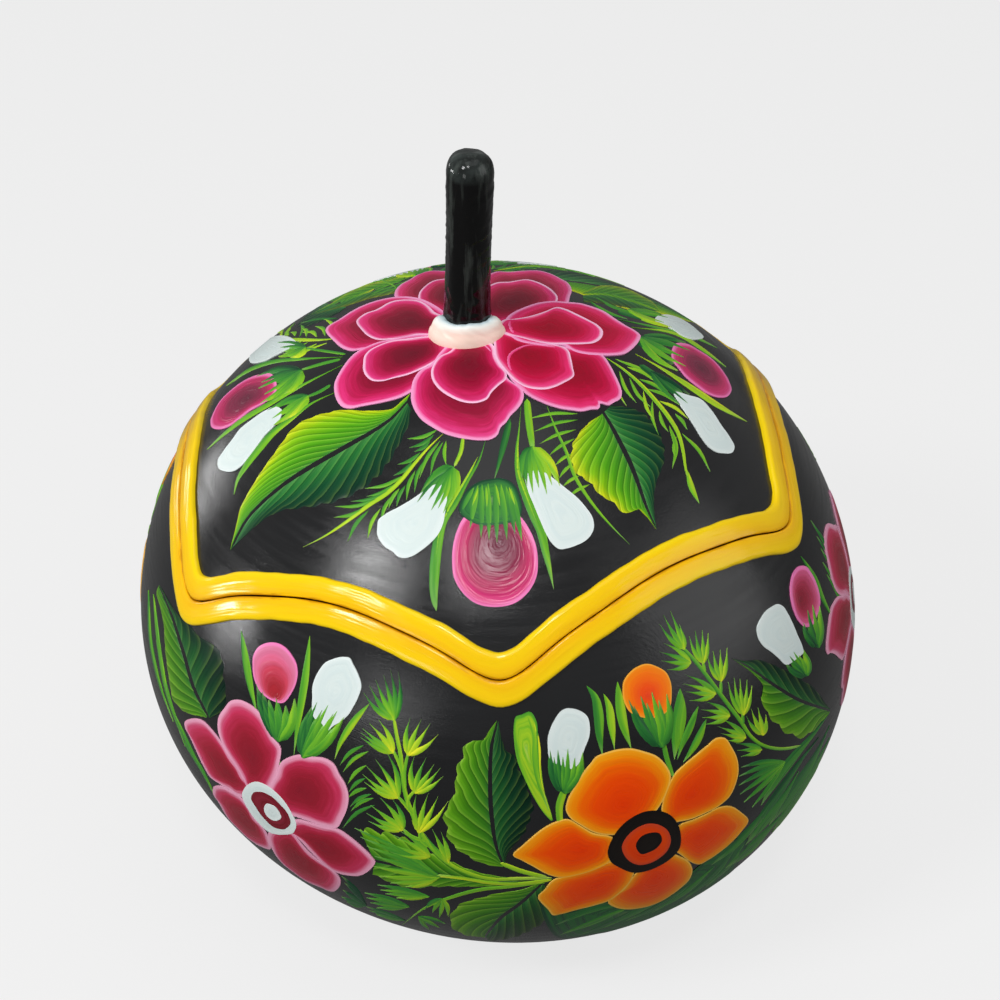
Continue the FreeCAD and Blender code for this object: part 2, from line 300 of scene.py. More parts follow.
@dataclass(frozen=True)
class Seam:
    """The scalloped line of six points along which the gourd is cut.

    Attributes:
        point_angle: elevation of the scallops' points, in degrees.
        arch_angle: how far the arches rise between the points.
        lean: lean of the line towards -X.
        spans: how many stretches of each arch have a set place.
        gap: how far the lid's cut lies above the bowl's.
        points: azimuth of each point from the front, and how far the saw strayed up there.
        rises: rise of the arch after each point, as a share of arch_angle.
    """

    point_angle: float = 28.0
    arch_angle: float = 9.0
    lean: float = 3.4
    spans: int = 7
    gap: float = 0.4 * MM
    points: tuple[Pair, ...] = (
        (2.2, 0.2), (65.5, 2.4), (124.5, 0.6), (184.0, -0.4), (-118.0, 0.0), (-57.3, -1.1)
    )
    rises: tuple[float, ...] = (0.91, 1.03, 1.0, 1.0, 1.0, 1.0)

    def leaning(self, ways: Array) -> Array:
        """Leans directions of the line's own frame as the line leans.

        Args:
            ways: the directions.

        Returns:
            The leant directions.
        """
        cosine, sine = math.cos(math.radians(self.lean)), math.sin(math.radians(self.lean))
        x, z = ways[..., 0], ways[..., 2]
        return np.stack([cosine * x - sine * z, ways[..., 1], sine * x + cosine * z], axis=-1)

    @property
    def pole(self) -> Array:
        """The direction about which the line runs."""
        return self.leaning(np.array([0.0, 0.0, 1.0]))

    def set_places(self, shift: float, radius: float) -> Array:
        """The line's set places on the plane one above the apex.

        An arch rises as half a sine wave over the straight run between its points. shift moves the
        line square to itself, towards the crown. At a point both arches' lines meet above it.

        Args:
            shift: how far the line is moved.
            radius: the gourd's radius, which turns shift into an angle.

        Returns:
            An array of spans x points by x and y.
        """
        azimuths, strays = np.array(self.points).T
        start = np.radians(azimuths)[:, None]
        width = np.radians((np.roll(azimuths, -1) - azimuths) % 360)[:, None]
        low = np.radians(self.point_angle + strays)[:, None]
        next_low = np.roll(low, -1, axis=0)
        rise = np.radians(self.arch_angle * np.array(self.rises))[:, None]
        along = (np.arange(self.spans) / self.spans)[None, :]
        elevation = low + along * (next_low - low) + rise * np.sin(np.pi * along)
        slope = ((next_low - low) + rise * np.pi * np.cos(np.pi * along)) / width / np.cos(elevation)
        square = np.hypot(1, slope)
        sweep = shift / radius
        at_point = along == 0
        azimuth = start + along * width - np.where(at_point, 0, sweep * slope / square / np.cos(elevation))
        elevation = elevation + np.where(at_point, sweep * square, sweep / square)
        out = 1 / np.tan(elevation)
        return np.stack([out * np.sin(azimuth), -out * np.cos(azimuth)], axis=-1).reshape(-1, 2)

    def line(self, shift: float, radius: float, steps: int) -> Array:
        """Directions along the line, once round.

        It is the closed cubic spline through the set places, with chord lengths as its parameter,
        whose second derivative runs on through every place.

        Args:
            shift: how far the line is moved towards the crown.
            radius: the gourd's radius.
            steps: how many directions for each span.

        Returns:
            An array of directions.
        """
        places = self.set_places(shift, radius)
        count = len(places)
        chord = np.linalg.norm(np.roll(places, -1, axis=0) - places, axis=1)
        slope = (np.roll(places, -1, axis=0) - places) / chord[:, None]
        before = np.roll(chord, 1)
        matrix = np.zeros((count, count))
        rows = np.arange(count)
        matrix[rows, rows] = 2 * (before + chord)
        matrix[rows, (rows - 1) % count] = chord
        matrix[rows, (rows + 1) % count] = before
        side = 3 * (chord[:, None] * np.roll(slope, 1, axis=0) + before[:, None] * slope)
        tangent = np.linalg.solve(matrix, side)
        share = (np.arange(steps) / steps)[None, :, None]
        start, end = places[:, None], np.roll(places, -1, axis=0)[:, None]
        run = chord[:, None, None]
        lean_in, lean_out = tangent[:, None] * run, np.roll(tangent, -1, axis=0)[:, None] * run
        flat = cubic(start, lean_in, end, lean_out, share).reshape(-1, 2)
        return self.leaning(unit(np.concatenate([flat, np.ones((len(flat), 1))], axis=1)))


@dataclass(frozen=True)
class Viewpoint:
    """Where the photograph was taken from.

    Attributes:
        distance: viewpoint to the gourd's middle.
        elevation: height of the viewpoint over the middle, in degrees.
        aim: how much less steeply it looks down than straight at the middle.
        yaw: how far it looks to the right.
        focal: focal length in pixels.
        frame_size: width and height of the photograph in pixels.
        sensor: width of the camera's sensor, in millimetres.
        margin: how far before its place nearest to the middle a line of sight is first tried.
    """

    distance: float = 468 * MM
    elevation: float = 39.0
    aim: float = 2.787
    yaw: float = 0.061
    focal: float = 2122.2
    frame_size: float = 1000.0
    sensor: float = 36.0
    margin: float = 80 * MM

    @property
    def station(self) -> Array:
        """The viewpoint, from the gourd's middle."""
        rise = math.radians(self.elevation)
        return self.distance * np.array([0, -math.cos(rise), math.sin(rise)])

    def cast(self, pixels: Array, form: GourdForm) -> Array:
        """Follows the lines of sight through pixels to the gourd.

        Each line is tried at even distances up to where it passes nearest to the middle, and the
        first stretch that enters the gourd is halved until the place is found. A line that misses
        the gourd ends where it passes nearest to it.

        Args:
            pixels: pixels across and down, in the last index.
            form: the gourd.

        Returns:
            Unit directions from the gourd's middle.
        """
        fall, yaw = math.radians(self.elevation - self.aim), math.radians(self.yaw)
        ahead = np.array([math.sin(yaw) * math.cos(fall), math.cos(yaw) * math.cos(fall), -math.sin(fall)])
        right = np.array([math.cos(yaw), -math.sin(yaw), 0])
        up = np.cross(right, ahead)
        offset = (pixels - self.frame_size / 2) / self.focal
        sight = unit(ahead + offset[..., :1] * right - offset[..., 1:] * up)
        nearest = -(sight @ self.station)[..., None]
        tries = nearest - np.linspace(self.margin, 0, 60)

        def outside(run: Array) -> Array:
            """How far points on the lines of sight lie outside the gourd.

            Args:
                run: the points' distances from the viewpoint.

            Returns:
                The distances, negative inside the gourd.
            """
            spot = self.station + sight[..., None, :] * run[..., None]
            far = np.linalg.norm(spot, axis=-1)
            return far - form.reach(spot / far[..., None])

        clear = outside(tries)
        inside = clear < 0
        first = np.where(inside.any(axis=-1), inside.argmax(axis=-1), clear.argmin(axis=-1))[..., None]
        high = np.take_along_axis(tries, first, axis=-1)
        low = np.take_along_axis(tries, np.maximum(first - 1, 0), axis=-1)
        found = inside.any(axis=-1)[..., None]
        low = np.where(found, low, high)
        for _ in range(16):
            half = (low + high) / 2
            within = outside(half) < 0
            low, high = np.where(within, low, half), np.where(within, half, high)
        return unit(self.station + sight * high)

    def place_camera(self, form: GourdForm) -> bpy.types.Object:
        """Makes the scene's camera stand at the viewpoint.

        Args:
            form: the gourd that it looks at.

        Returns:
            The camera.
        """
        data = bpy.data.cameras.new("photo_camera")
        data.sensor_width = self.sensor
        data.lens = self.focal * self.sensor / self.frame_size
        data.clip_start = 10 * MM
        camera = bpy.data.objects.new("photo_camera", data)
        camera.location = Vector(form.middle + self.station)
        pitch = math.radians(90 - self.elevation + self.aim)
        camera.rotation_euler = Euler((pitch, 0, -math.radians(self.yaw)))
        bpy.context.scene.collection.objects.link(camera)
        bpy.context.scene.camera = camera
        return camera


class Ends(Enum):
    """How the first and last rows of a grid are closed."""

    POLES = "each row is drawn together in one point"
    JOINED = "the last row runs on into the first"


@dataclass
class Patch:
    """A closed grid of points with what its paint needs to know.

    Attributes:
        points: rows by columns by x, y, z. The last column runs on into the first.
        paint: rows by columns by three values that a finish reads.
        grain: rows by columns by the place in the brush's own track, in millimetres.
        ends: how the rows are closed.
    """

    points: Array
    paint: Array
    grain: Array
    ends: Ends = Ends.POLES

    def vertices(self) -> tuple[Array, Array, Array]:
        """The grid as lists.

        Returns:
            Points, paint and grain, the two poles last.
        """
        lists = []
        for values in (self.points, self.paint, self.grain):
            flat = values.reshape(-1, 3)
            if self.ends is Ends.POLES:
                flat = np.vstack([flat, values[0].mean(axis=0), values[-1].mean(axis=0)])
            lists.append(flat)
        return lists[0], lists[1], lists[2]

    def faces(self) -> tuple[Array, Array]:
        """The grid's faces, as numbers of its points.

        Returns:
            The four-sided faces, and the triangles round the poles, all facing outwards.
        """
        rows, columns = self.points.shape[:2]
        index = np.arange(rows * columns).reshape(rows, columns)
        beside = np.roll(index, -1, axis=1)
        if self.ends is Ends.JOINED:
            below, corner = np.roll(index, -1, axis=0), np.roll(beside, -1, axis=0)
            quads = np.stack([index, beside, corner, below], axis=-1).reshape(-1, 4)
            fans = np.zeros((0, 3), int)
        else:
            quads = np.stack([index[:-1], beside[:-1], beside[1:], index[1:]], axis=-1).reshape(-1, 4)
            top, bottom = np.full(columns, rows * columns), np.full(columns, rows * columns + 1)
            first = np.stack([beside[0], index[0], top], axis=-1)
            last = np.stack([index[-1], beside[-1], bottom], axis=-1)
            fans = np.vstack([first, last])
        points = self.vertices()[0]
        points = points - points.mean(axis=0)
        corners = np.vstack([quads[:, [0, 1, 2]], quads[:, [0, 2, 3]], fans])
        a, b, c = points[corners[:, 0]], points[corners[:, 1]], points[corners[:, 2]]
        if np.einsum("ij,ij->", a, np.cross(b, c)) < 0:
            quads, fans = quads[:, ::-1], fans[:, ::-1]
        return quads, fans


def make_piece(
    name: str, patches: list[Patch], material: bpy.types.Material, body: str
) -> Piece:
    """Joins patches into one object that rides on a body.

    Args:
        name: the piece's name.
        patches: its closed grids.
        material: its finish.
        body: the body that carries it.

    Returns:
        The object.
    """
    points, paints, grains, quads, fans = [], [], [], [], []
    start = 0
    for patch in patches:
        place, paint, grain = patch.vertices()
        four, three = patch.faces()
        points.append(place)
        paints.append(paint)
        grains.append(grain)
        quads.append(four + start)
        fans.append(three + start)
        start += len(place)
    four, three = np.vstack(quads), np.vstack(fans)
    mesh = bpy.data.meshes.new(name)
    mesh.vertices.add(start)
    mesh.vertices.foreach_set("co", np.vstack(points).astype(np.float32).ravel())
    corners = np.concatenate([four.ravel(), three.ravel()]).astype(np.int32)
    mesh.loops.add(len(corners))
    mesh.loops.foreach_set("vertex_index", corners)
    starts = np.concatenate([np.arange(len(four)) * 4, four.size + np.arange(len(three)) * 3])
    mesh.polygons.add(len(starts))
    mesh.polygons.foreach_set("loop_start", starts.astype(np.int32))
    mesh.update(calc_edges=True)
    mesh.validate()
    for title, values in (("paint", paints), ("grain", grains)):
        attribute = mesh.attributes.new(title, "FLOAT_VECTOR", "POINT")
        attribute.data.foreach_set("vector", np.vstack(values).astype(np.float32).ravel())
    mesh.shade_smooth()
    mesh.set_sharp_from_angle(angle=math.radians(38))
    mesh.materials.append(material)
    piece = bpy.data.objects.new(name, mesh)
    bpy.context.scene.collection.objects.link(piece)
    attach(piece, body)
    LOG.info("%s: %d patches, %d faces", name, len(patches), len(starts))
    return piece


class Graph:
    """Lays nodes in a material or a group and joins them."""

    def __init__(self, tree: bpy.types.NodeTree) -> None:
        """Keeps the tree that the nodes go into."""
        self.tree = tree

    def add(self, kind: str, inputs: dict | None = None, **settings: object) -> Node:
        """Adds a node.

        Args:
            kind: Blender's name of the node, without ShaderNode.
            inputs: values or other nodes' sockets for its inputs, by name or number.
            settings: the node's own settings.

        Returns:
            The node.
        """
        node = self.tree.nodes.new(kind if kind.startswith("Node") else f"ShaderNode{kind}")
        for title, value in settings.items():
            setattr(node, title, value)
        for key, value in (inputs or {}).items():
            if isinstance(value, Socket):
                self.tree.links.new(value, node.inputs[key])
            else:
                node.inputs[key].default_value = value
        return node

    def ramp(self, value: Socket, colours: Stops) -> Socket:
        """A run of colours.

        Args:
            value: where along the run.
            colours: places from 0 to 1 and their colours.

        Returns:
            The colour socket.
        """
        node = self.add("ValToRGB", {"Fac": value})
        run = node.color_ramp
        while len(run.elements) < len(colours):
            run.elements.new(0.5)
        for element, (place, colour) in zip(run.elements, colours):
            element.position = place
            element.color = (*colour, 1)
        return node.outputs["Color"]

    def math(self, operation: str, *values: object, clamp: bool = False) -> Socket:
        """One sum on numbers."""
        inputs = {place: value for place, value in enumerate(values)}
        return self.add("Math", inputs, operation=operation, use_clamp=clamp).outputs[0]

    def mix(self, share: object, first: object, second: object, kind: str = "MIX") -> Socket:
        """A colour between two colours.

        Args:
            share: how much of the second.
            first: a colour or a socket.
            second: a colour or a socket.
            kind: how they are blended.

        Returns:
            The colour socket.
        """
        sockets = [(*value, 1) if isinstance(value, tuple) else value for value in (first, second)]
        node = self.add("Mix", {0: share, 6: sockets[0], 7: sockets[1]}, data_type="RGBA", blend_type=kind)
        return node.outputs[2]

    def drawn_noise(self, place: Socket, scale: Colour, detail: float, roughness: float) -> Socket:
        """A noise that is finer one way than another.

        Args:
            place: where it is read.
            scale: how fine it is along x, y and z.
            detail: how many finer noises lie over it.
            roughness: how strong those are.

        Returns:
            The noise.
        """
        drawn = self.add("VectorMath", {0: place, 1: scale}, operation="MULTIPLY").outputs[0]
        noise = {"Vector": drawn, "Scale": 1.0, "Detail": detail, "Roughness": roughness}
        return self.add("TexNoise", noise).outputs["Fac"]


def new_effect(name: str, takes: dict[str, float | None], gives: tuple[str, ...]) -> tuple[Graph, Node]:
    """Starts a node group with named sockets.

    Args:
        name: the group's name.
        takes: its inputs' names and values, None standing for a vector.
        gives: its outputs' names.

    Returns:
        What lays its nodes, and the node that brings its inputs.
    """
    tree = bpy.data.node_groups.new(name, "ShaderNodeTree")
    for title, value in takes.items():
        kind = "NodeSocketVector" if value is None else "NodeSocketFloat"
        socket = tree.interface.new_socket(title, in_out="INPUT", socket_type=kind)
        if value is not None:
            socket.default_value = value
    for title in gives:
        tree.interface.new_socket(title, in_out="OUTPUT", socket_type="NodeSocketFloat")
    graph = Graph(tree)
    return graph, graph.add("NodeGroupInput")


def brush_lines() -> bpy.types.NodeTree:
    """The marks that the hairs of a brush leave, as a group that is built once.

    Two noises are drawn out along the brush's track. The finer one shifts the fade between two
    colours to and fro, and the coarser one gives streaks.

    Returns:
        The group. It takes Grain, Fade, Wander and Fineness, and gives Fade and Streak.
    """
    made = bpy.data.node_groups.get("brush_lines")
    if made:
        return made
    takes = {"Grain": None, "Fade": 0.0, "Wander": 0.1, "Fineness": 2.2}
    graph, start = new_effect("brush_lines", takes, ("Fade", "Streak"))
    parts = graph.add("SeparateXYZ", {0: start.outputs["Grain"]})
    across = graph.math("MULTIPLY", parts.outputs[2], start.outputs["Fineness"])
    long_x = graph.math("MULTIPLY", parts.outputs[0], 0.13)
    long_y = graph.math("MULTIPLY", parts.outputs[1], 0.13)
    track = graph.add("CombineXYZ", {0: long_x, 1: long_y, 2: across}).outputs[0]
    fine = graph.add("TexNoise", {"Vector": track, "Scale": 1.0, "Detail": 3.0, "Roughness": 0.65})
    coarse = graph.add("TexNoise", {"Vector": track, "Scale": 0.45, "Detail": 2.0, "Roughness": 0.5})
    swing = graph.math("MULTIPLY", graph.math("SUBTRACT", fine.outputs["Fac"], 0.5), start.outputs["Wander"])
    fade = graph.math("ADD", start.outputs["Fade"], swing, clamp=True)
    streak = graph.add("MapRange", {"Value": coarse.outputs["Fac"], "From Min": 0.36, "From Max": 0.64})
    graph.add("NodeGroupOutput", {"Fade": fade, "Streak": streak.outputs[0]})
    return graph.tree


def petal_rim() -> bpy.types.NodeTree:
    """Where a petal's outlining stroke lies, with the uneven inner side of a brushed line.

    Returns:
        The group. It takes Inward, the millimetres from the edge, Streak, Soft, Width and Spread,
        and gives Share, which is 1 at the edge and 0 further in.
    """
    made = bpy.data.node_groups.get("petal_rim")
    if made:
        return made
    takes = {"Inward": 0.0, "Streak": 0.0, "Soft": 0.0, "Width": 0.8, "Spread": 0.4}
    graph, start = new_effect("petal_rim", takes, ("Share",))
    stray = graph.math("MULTIPLY", start.outputs["Streak"], start.outputs["Width"])
    wavy = graph.math("MULTIPLY_ADD", stray, 0.5, start.outputs["Inward"])
    near = graph.math("MULTIPLY", start.outputs["Width"], 0.5)
    reach = graph.math("MULTIPLY_ADD", start.outputs["Soft"], start.outputs["Spread"], 1.5)
    far = graph.math("MULTIPLY", start.outputs["Width"], reach)
    share = graph.add(
        "MapRange",
        {"Value": wavy, "From Min": near, "From Max": far, "To Min": 1.0, "To Max": 0.0},
        interpolation_type="SMOOTHSTEP",
    )
    graph.add("NodeGroupOutput", {"Share": share.outputs[0]})
    return graph.tree


def edge_band() -> bpy.types.NodeTree:
    """A band along a daub's edge, where the paint ran together.

    Returns:
        The group. It takes Inward, the millimetres from the edge, and gives Share.
    """
    made = bpy.data.node_groups.get("edge_band")
    if made:
        return made
    graph, start = new_effect("edge_band", {"Inward": 0.0}, ("Share",))
    band = graph.add(
        "MapRange",
        {"Value": start.outputs["Inward"], "From Min": 0.2, "From Max": 1.2, "To Min": 1.0, "To Max": 0.0},
    )
    graph.add("NodeGroupOutput", {"Share": band.outputs[0]})
    return graph.tree


def clouding() -> bpy.types.NodeTree:
    """Soft clouds by which a lacquer or filler is uneven.

    Returns:
        The group. It takes Place, Scale and Detail, and gives Share.
    """
    made = bpy.data.node_groups.get("clouding")
    if made:
        return made
    graph, start = new_effect("clouding", {"Place": None, "Scale": 42.0, "Detail": 3.0}, ("Share",))
    inputs = {"Vector": start.outputs["Place"], "Scale": start.outputs["Scale"]}
    noise = graph.add("TexNoise", {**inputs, "Detail": start.outputs["Detail"]})
    graph.add("NodeGroupOutput", {"Share": noise.outputs["Fac"]})
    return graph.tree


@dataclass(frozen=True)
class Marks:
    """What a patch and the brush's hairs tell a finish.

    Attributes:
        fade: the patch's paint value x, shifted by the hairs.
        streak: the hairs' streaks.
        even_fade: the paint value x itself.
        tone: the paint value y.
        across: the paint value z, such as the millimetres from a daub's edge.
    """

    fade: Socket
    streak: Socket
    even_fade: Socket
    tone: Socket
    across: Socket


@dataclass(frozen=True)
class Finish:
    """What all the finishes share: a lacquer's gloss and the marks of its brush.

    Attributes:
        name: the material's name.
        roughness: how dull the lacquer is.
        gloss: its specular level.
        relief: how strongly the brush's marks stand out.
        wander: how far the brush's marks shift a fade.
        fineness: brush marks for each millimetre.
        RELIEF_DEPTH: depth of the brush's marks where relief is 1.
    """

    RELIEF_DEPTH: ClassVar[float] = 0.12 * MM

    name: str
    roughness: float = 0.32
    gloss: float = 0.16
    relief: float = 0.25
    wander: float = 0.2
    fineness: float = 2.2

    def material(self) -> bpy.types.Material:
        """Makes the material, or gives back the one that is already made.

        Returns:
            The material.
        """
        made = bpy.data.materials.get(self.name)
        if made:
            return made
        made = bpy.data.materials.new(self.name)
        made.use_nodes = True
        tree = made.node_tree
        tree.nodes.clear()
        graph = Graph(tree)
        paint = graph.add("Attribute", attribute_name="paint").outputs["Vector"]
        values = graph.add("SeparateXYZ", {0: paint}).outputs
        grain = graph.add("Attribute", attribute_name="grain").outputs["Vector"]
        brush = {"Grain": grain, "Fade": values[0], "Wander": self.wander, "Fineness": self.fineness}
        hairs = graph.add("Group", brush, node_tree=brush_lines()).outputs
        marks = Marks(hairs["Fade"], hairs["Streak"], *values)
        colour = self.colour(graph, marks)
        relief = {"Strength": self.relief, "Distance": self.RELIEF_DEPTH, "Height": self.height(graph, marks)}
        bump = graph.add("Bump", relief)
        dullness = {"To Min": self.roughness - 0.05, "To Max": self.roughness + 0.06}
        dull = graph.add("MapRange", {"Value": marks.streak, **dullness})
        surface = {"Base Color": colour, "Roughness": dull.outputs[0], "Specular IOR Level": self.gloss}
        shader = graph.add("BsdfPrincipled", {**surface, "Normal": bump.outputs[0]})
        graph.add("OutputMaterial", {"Surface": shader.outputs[0]})
        return made

    def cloud(self, graph: Graph, scale: float, detail: float) -> Socket:
        """Clouds of a given fineness over the whole piece."""
        inputs = {"Place": graph.add("TexCoord").outputs["Object"], "Scale": scale, "Detail": detail}
        return graph.add("Group", inputs, node_tree=clouding()).outputs[0]

    def height(self, graph: Graph, marks: Marks) -> Socket:
        """The relief's height: the brush's own streaks."""
        return marks.streak

    def colour(self, graph: Graph, marks: Marks) -> Socket:
        """The paint's colour, which each finish makes in its own way.

        Args:
            graph: lays the nodes.
            marks: the patch's and the brush's marks.

        Returns:
            The colour socket.
        """
        raise NotImplementedError


@dataclass(frozen=True)
class GroundLacquer(Finish):
    """Black lacquer, brushed on in fine strokes that break up its highlights."""

    name: str = "black_ground_lacquer"
    roughness: float = 0.2
    gloss: float = 0.46
    relief: float = 0.32
    tone: Colour = srgb(17, 17, 18)
    worn: Colour = srgb(27, 28, 30)
    inside: Colour = srgb(36, 24, 17)

    def height(self, graph: Graph, marks: Marks) -> Socket:
        """Fine strokes that run every way, from a noise bent by a coarser one.

        Args:
            graph: lays the nodes.
            marks: the patch's and the brush's marks.

        Returns:
            The height socket.
        """
        place = graph.add("TexCoord").outputs["Object"]
        bend = graph.add("TexNoise", {"Vector": place, "Scale": 38.0, "Detail": 1.0}).outputs["Color"]
        bent = graph.add("VectorMath", {0: bend, 1: (0.05, 0.05, 0.02)}, operation="MULTIPLY").outputs[0]
        moved = graph.add("VectorMath", {0: place, 1: bent}, operation="ADD").outputs[0]
        return graph.drawn_noise(moved, (1250.0, 1250.0, 3400.0), 3.0, 0.7)

    def colour(self, graph: Graph, marks: Marks) -> Socket:
        """Black that is a little greyer in patches, and browner on the cut and the inside.

        Args:
            graph: lays the nodes.
            marks: the patch's and the brush's marks.

        Returns:
            The colour socket.
        """
        cloud = self.cloud(graph, 42.0, 4.0)
        outside = graph.mix(cloud, self.tone, self.worn)
        brown = graph.mix(cloud, self.tone, self.inside)
        return graph.mix(marks.tone, outside, brown)


@dataclass(frozen=True)
class BorderPaint(Finish):
    """Thick glossy yellow, streaked along the border, with painted shade in amber beside the cut and a
    painted highlight at the outer edge.
    """

    name: str = "border_yellow"
    roughness: float = 0.17
    gloss: float = 0.34
    relief: float = 0.5
    wander: float = 0.55
    fineness: float = 1.3
    # run: from painted shade in amber at the cut, through chrome yellow, to a painted highlight at the outer
    # edge
    run: Stops = stops(
        (0.0, 214, 150, 0), (0.08, 250, 192, 0), (0.4, 253, 205, 0), (0.75, 254, 212, 0), (1.0, 254, 220, 8),
    )

    def colour(self, graph: Graph, marks: Marks) -> Socket:
        """Painted shade in amber at the cut, chrome yellow over the bead, and a painted highlight a little
        lighter at the outer edge.

        Args:
            graph: lays the nodes.
            marks: the patch's and the brush's marks.

        Returns:
            The colour socket.
        """
        # The run's ends are painted shade at the cut and a painted highlight at the outer edge
        body = graph.ramp(marks.fade, self.run)
        deep = graph.math("MULTIPLY", marks.streak, 0.28)
        return graph.mix(deep, body, srgb(252, 190, 0))


@dataclass(frozen=True)
class PetalPaint(Finish):
    """A petal that fades from its heart to a pale rim.

    Attributes:
        rim: colour of the outlining stroke.
        rim_width: its width in millimetres.
        body: places and colours from the rim to the heart.
        warm: the same for petals whose paint value y is 1.
        soft_rim: the outlining stroke's colour where y is over 2.
        rim_fade: how much wider that stroke fades there, as a share of its width.
    """

    name: str = "petal"
    wander: float = 0.26
    rim: Colour = srgb(250, 196, 226)
    rim_width: float = 0.9
    body: Stops = ()
    warm: Stops = ()
    soft_rim: Colour | None = None
    rim_fade: float = 0.4

    def colour(self, graph: Graph, marks: Marks) -> Socket:
        """The fade of the petal's body, then the rim along its edge, fuller where y is over 2.

        Args:
            graph: lays the nodes.
            marks: the patch's and the brush's marks.

        Returns:
            The colour socket.
        """
        outer = graph.math("GREATER_THAN", marks.tone, 1.5)
        warmth = graph.math("MULTIPLY_ADD", outer, -2.0, marks.tone, clamp=True)
        body = graph.ramp(marks.fade, self.body)
        if self.warm:
            body = graph.mix(warmth, body, graph.ramp(marks.fade, self.warm))
        shade = graph.math("MULTIPLY", marks.streak, 0.16)
        body = graph.mix(shade, body, self.body[-1][1])
        edge = {"Inward": marks.across, "Streak": marks.streak, "Soft": outer}
        edge |= {"Width": self.rim_width, "Spread": self.rim_fade}
        share = graph.add("Group", edge, node_tree=petal_rim()).outputs[0]
        return graph.mix(share, body, graph.mix(outer, self.rim, self.soft_rim or self.rim))


@dataclass(frozen=True)
class LeafPaint(Finish):
    """A leaf built from sweeping strokes, light on one side of its vein and dark on the other.

    Attributes:
        lit: places and colours from the vein to the edge of the light half.
        shaded: the same for the dark half.
        overlap: how dark each stroke is from its leading edge to the next stroke.
        hairs: the same for the finer lines in a stroke.
    """

    name: str = "leaf"
    wander: float = 0.24
    fineness: float = 1.1
    relief: float = 0.3
    lit: Stops = stops(
        (0.0, 70, 150, 62), (0.1, 74, 160, 32), (0.45, 92, 182, 18), (0.75, 146, 212, 10),
        (1.0, 236, 240, 20),
    )
    shaded: Stops = stops((0.0, 76, 154, 76), (0.2, 40, 126, 56), (0.5, 16, 86, 50), (1.0, 4, 46, 36))
    overlap: Stops = (
        (0.0, (0.96, 0.96, 0.96)), (0.15, (1.0, 1.0, 1.0)), (0.55, (0.82, 0.82, 0.82)),
        (1.0, (0.5, 0.54, 0.54)),
    )
    hairs: Stops = ((0.0, (1.0, 1.0, 1.0)), (0.5, (0.92, 0.92, 0.92)), (1.0, (0.8, 0.82, 0.82)))

    def colour(self, graph: Graph, marks: Marks) -> Socket:
        """Each stroke has a light leading edge and darkens towards the next one.

        Args:
            graph: lays the nodes.
            marks: the patch's and the brush's marks.

        Returns:
            The colour socket.
        """
        body = graph.mix(marks.tone, graph.ramp(marks.fade, self.lit), graph.ramp(marks.fade, self.shaded))
        saw = graph.math("FRACT", graph.math("MULTIPLY_ADD", marks.streak, 0.05, marks.across))
        fine = graph.math("FRACT", graph.math("MULTIPLY", saw, 3.0))
        shade, hairs = graph.ramp(saw, self.overlap), graph.ramp(fine, self.hairs)
        ridge = graph.math("POWER", graph.math("SUBTRACT", 1.0, saw), 5.0)
        strength = graph.math("MULTIPLY_ADD", marks.tone, -0.14, 0.24)
        lit = graph.mix(graph.math("MULTIPLY", ridge, strength), body, srgb(200, 236, 96))
        return graph.mix(1.0, graph.mix(1.0, lit, shade, "MULTIPLY"), hairs, "MULTIPLY")


@dataclass(frozen=True)
class GreenPaint(Finish):
    """Green strokes from blue-green to yellow, chosen by the paint value y, lighter along one side."""

    name: str = "green_stroke"
    wander: float = 0.3
    run: Stops = stops(
        (0.0, 14, 66, 40), (0.2, 40, 112, 50), (0.4, 70, 150, 46), (0.6, 118, 186, 40), (0.8, 176, 212, 40),
        (1.0, 236, 236, 44),
    )
    pale: Colour = srgb(170, 206, 128)

    def colour(self, graph: Graph, marks: Marks) -> Socket:
        """The stroke's own green, shifted across its width, by its hairs, and paler at its thin end.

        Args:
            graph: lays the nodes.
            marks: the patch's and the brush's marks.

        Returns:
            The colour socket.
        """
        beside = graph.math("MINIMUM", marks.across, 1.0)
        across = graph.math("MULTIPLY_ADD", beside, 0.26, marks.tone)
        shifted = graph.math("ADD", graph.math("MULTIPLY_ADD", marks.streak, 0.16, across), -0.2, clamp=True)
        green = graph.ramp(shifted, self.run)
        tip = graph.add("MapRange", {"Value": marks.fade, "From Min": 0.8, "From Max": 1.0, "To Max": 0.35})
        return graph.mix(tip.outputs[0], green, self.pale)


@dataclass(frozen=True)
class PlainPaint(Finish):
    """One colour with a second one showing in its streaks and towards its edge."""

    name: str = "plain_paint"
    main: Colour = srgb(222, 234, 231)
    second: Colour = srgb(200, 222, 224)
    edge: Colour = srgb(228, 238, 236)

    def colour(self, graph: Graph, marks: Marks) -> Socket:
        """Streaks of the second colour in the main one, and the edge's own colour.

        Args:
            graph: lays the nodes.
            marks: the patch's and the brush's marks.

        Returns:
            The colour socket.
        """
        body = graph.mix(graph.math("MULTIPLY", marks.streak, 0.5), self.main, self.second)
        near = graph.add("Group", {"Inward": marks.across}, node_tree=edge_band())
        return graph.mix(near.outputs[0], body, self.edge)


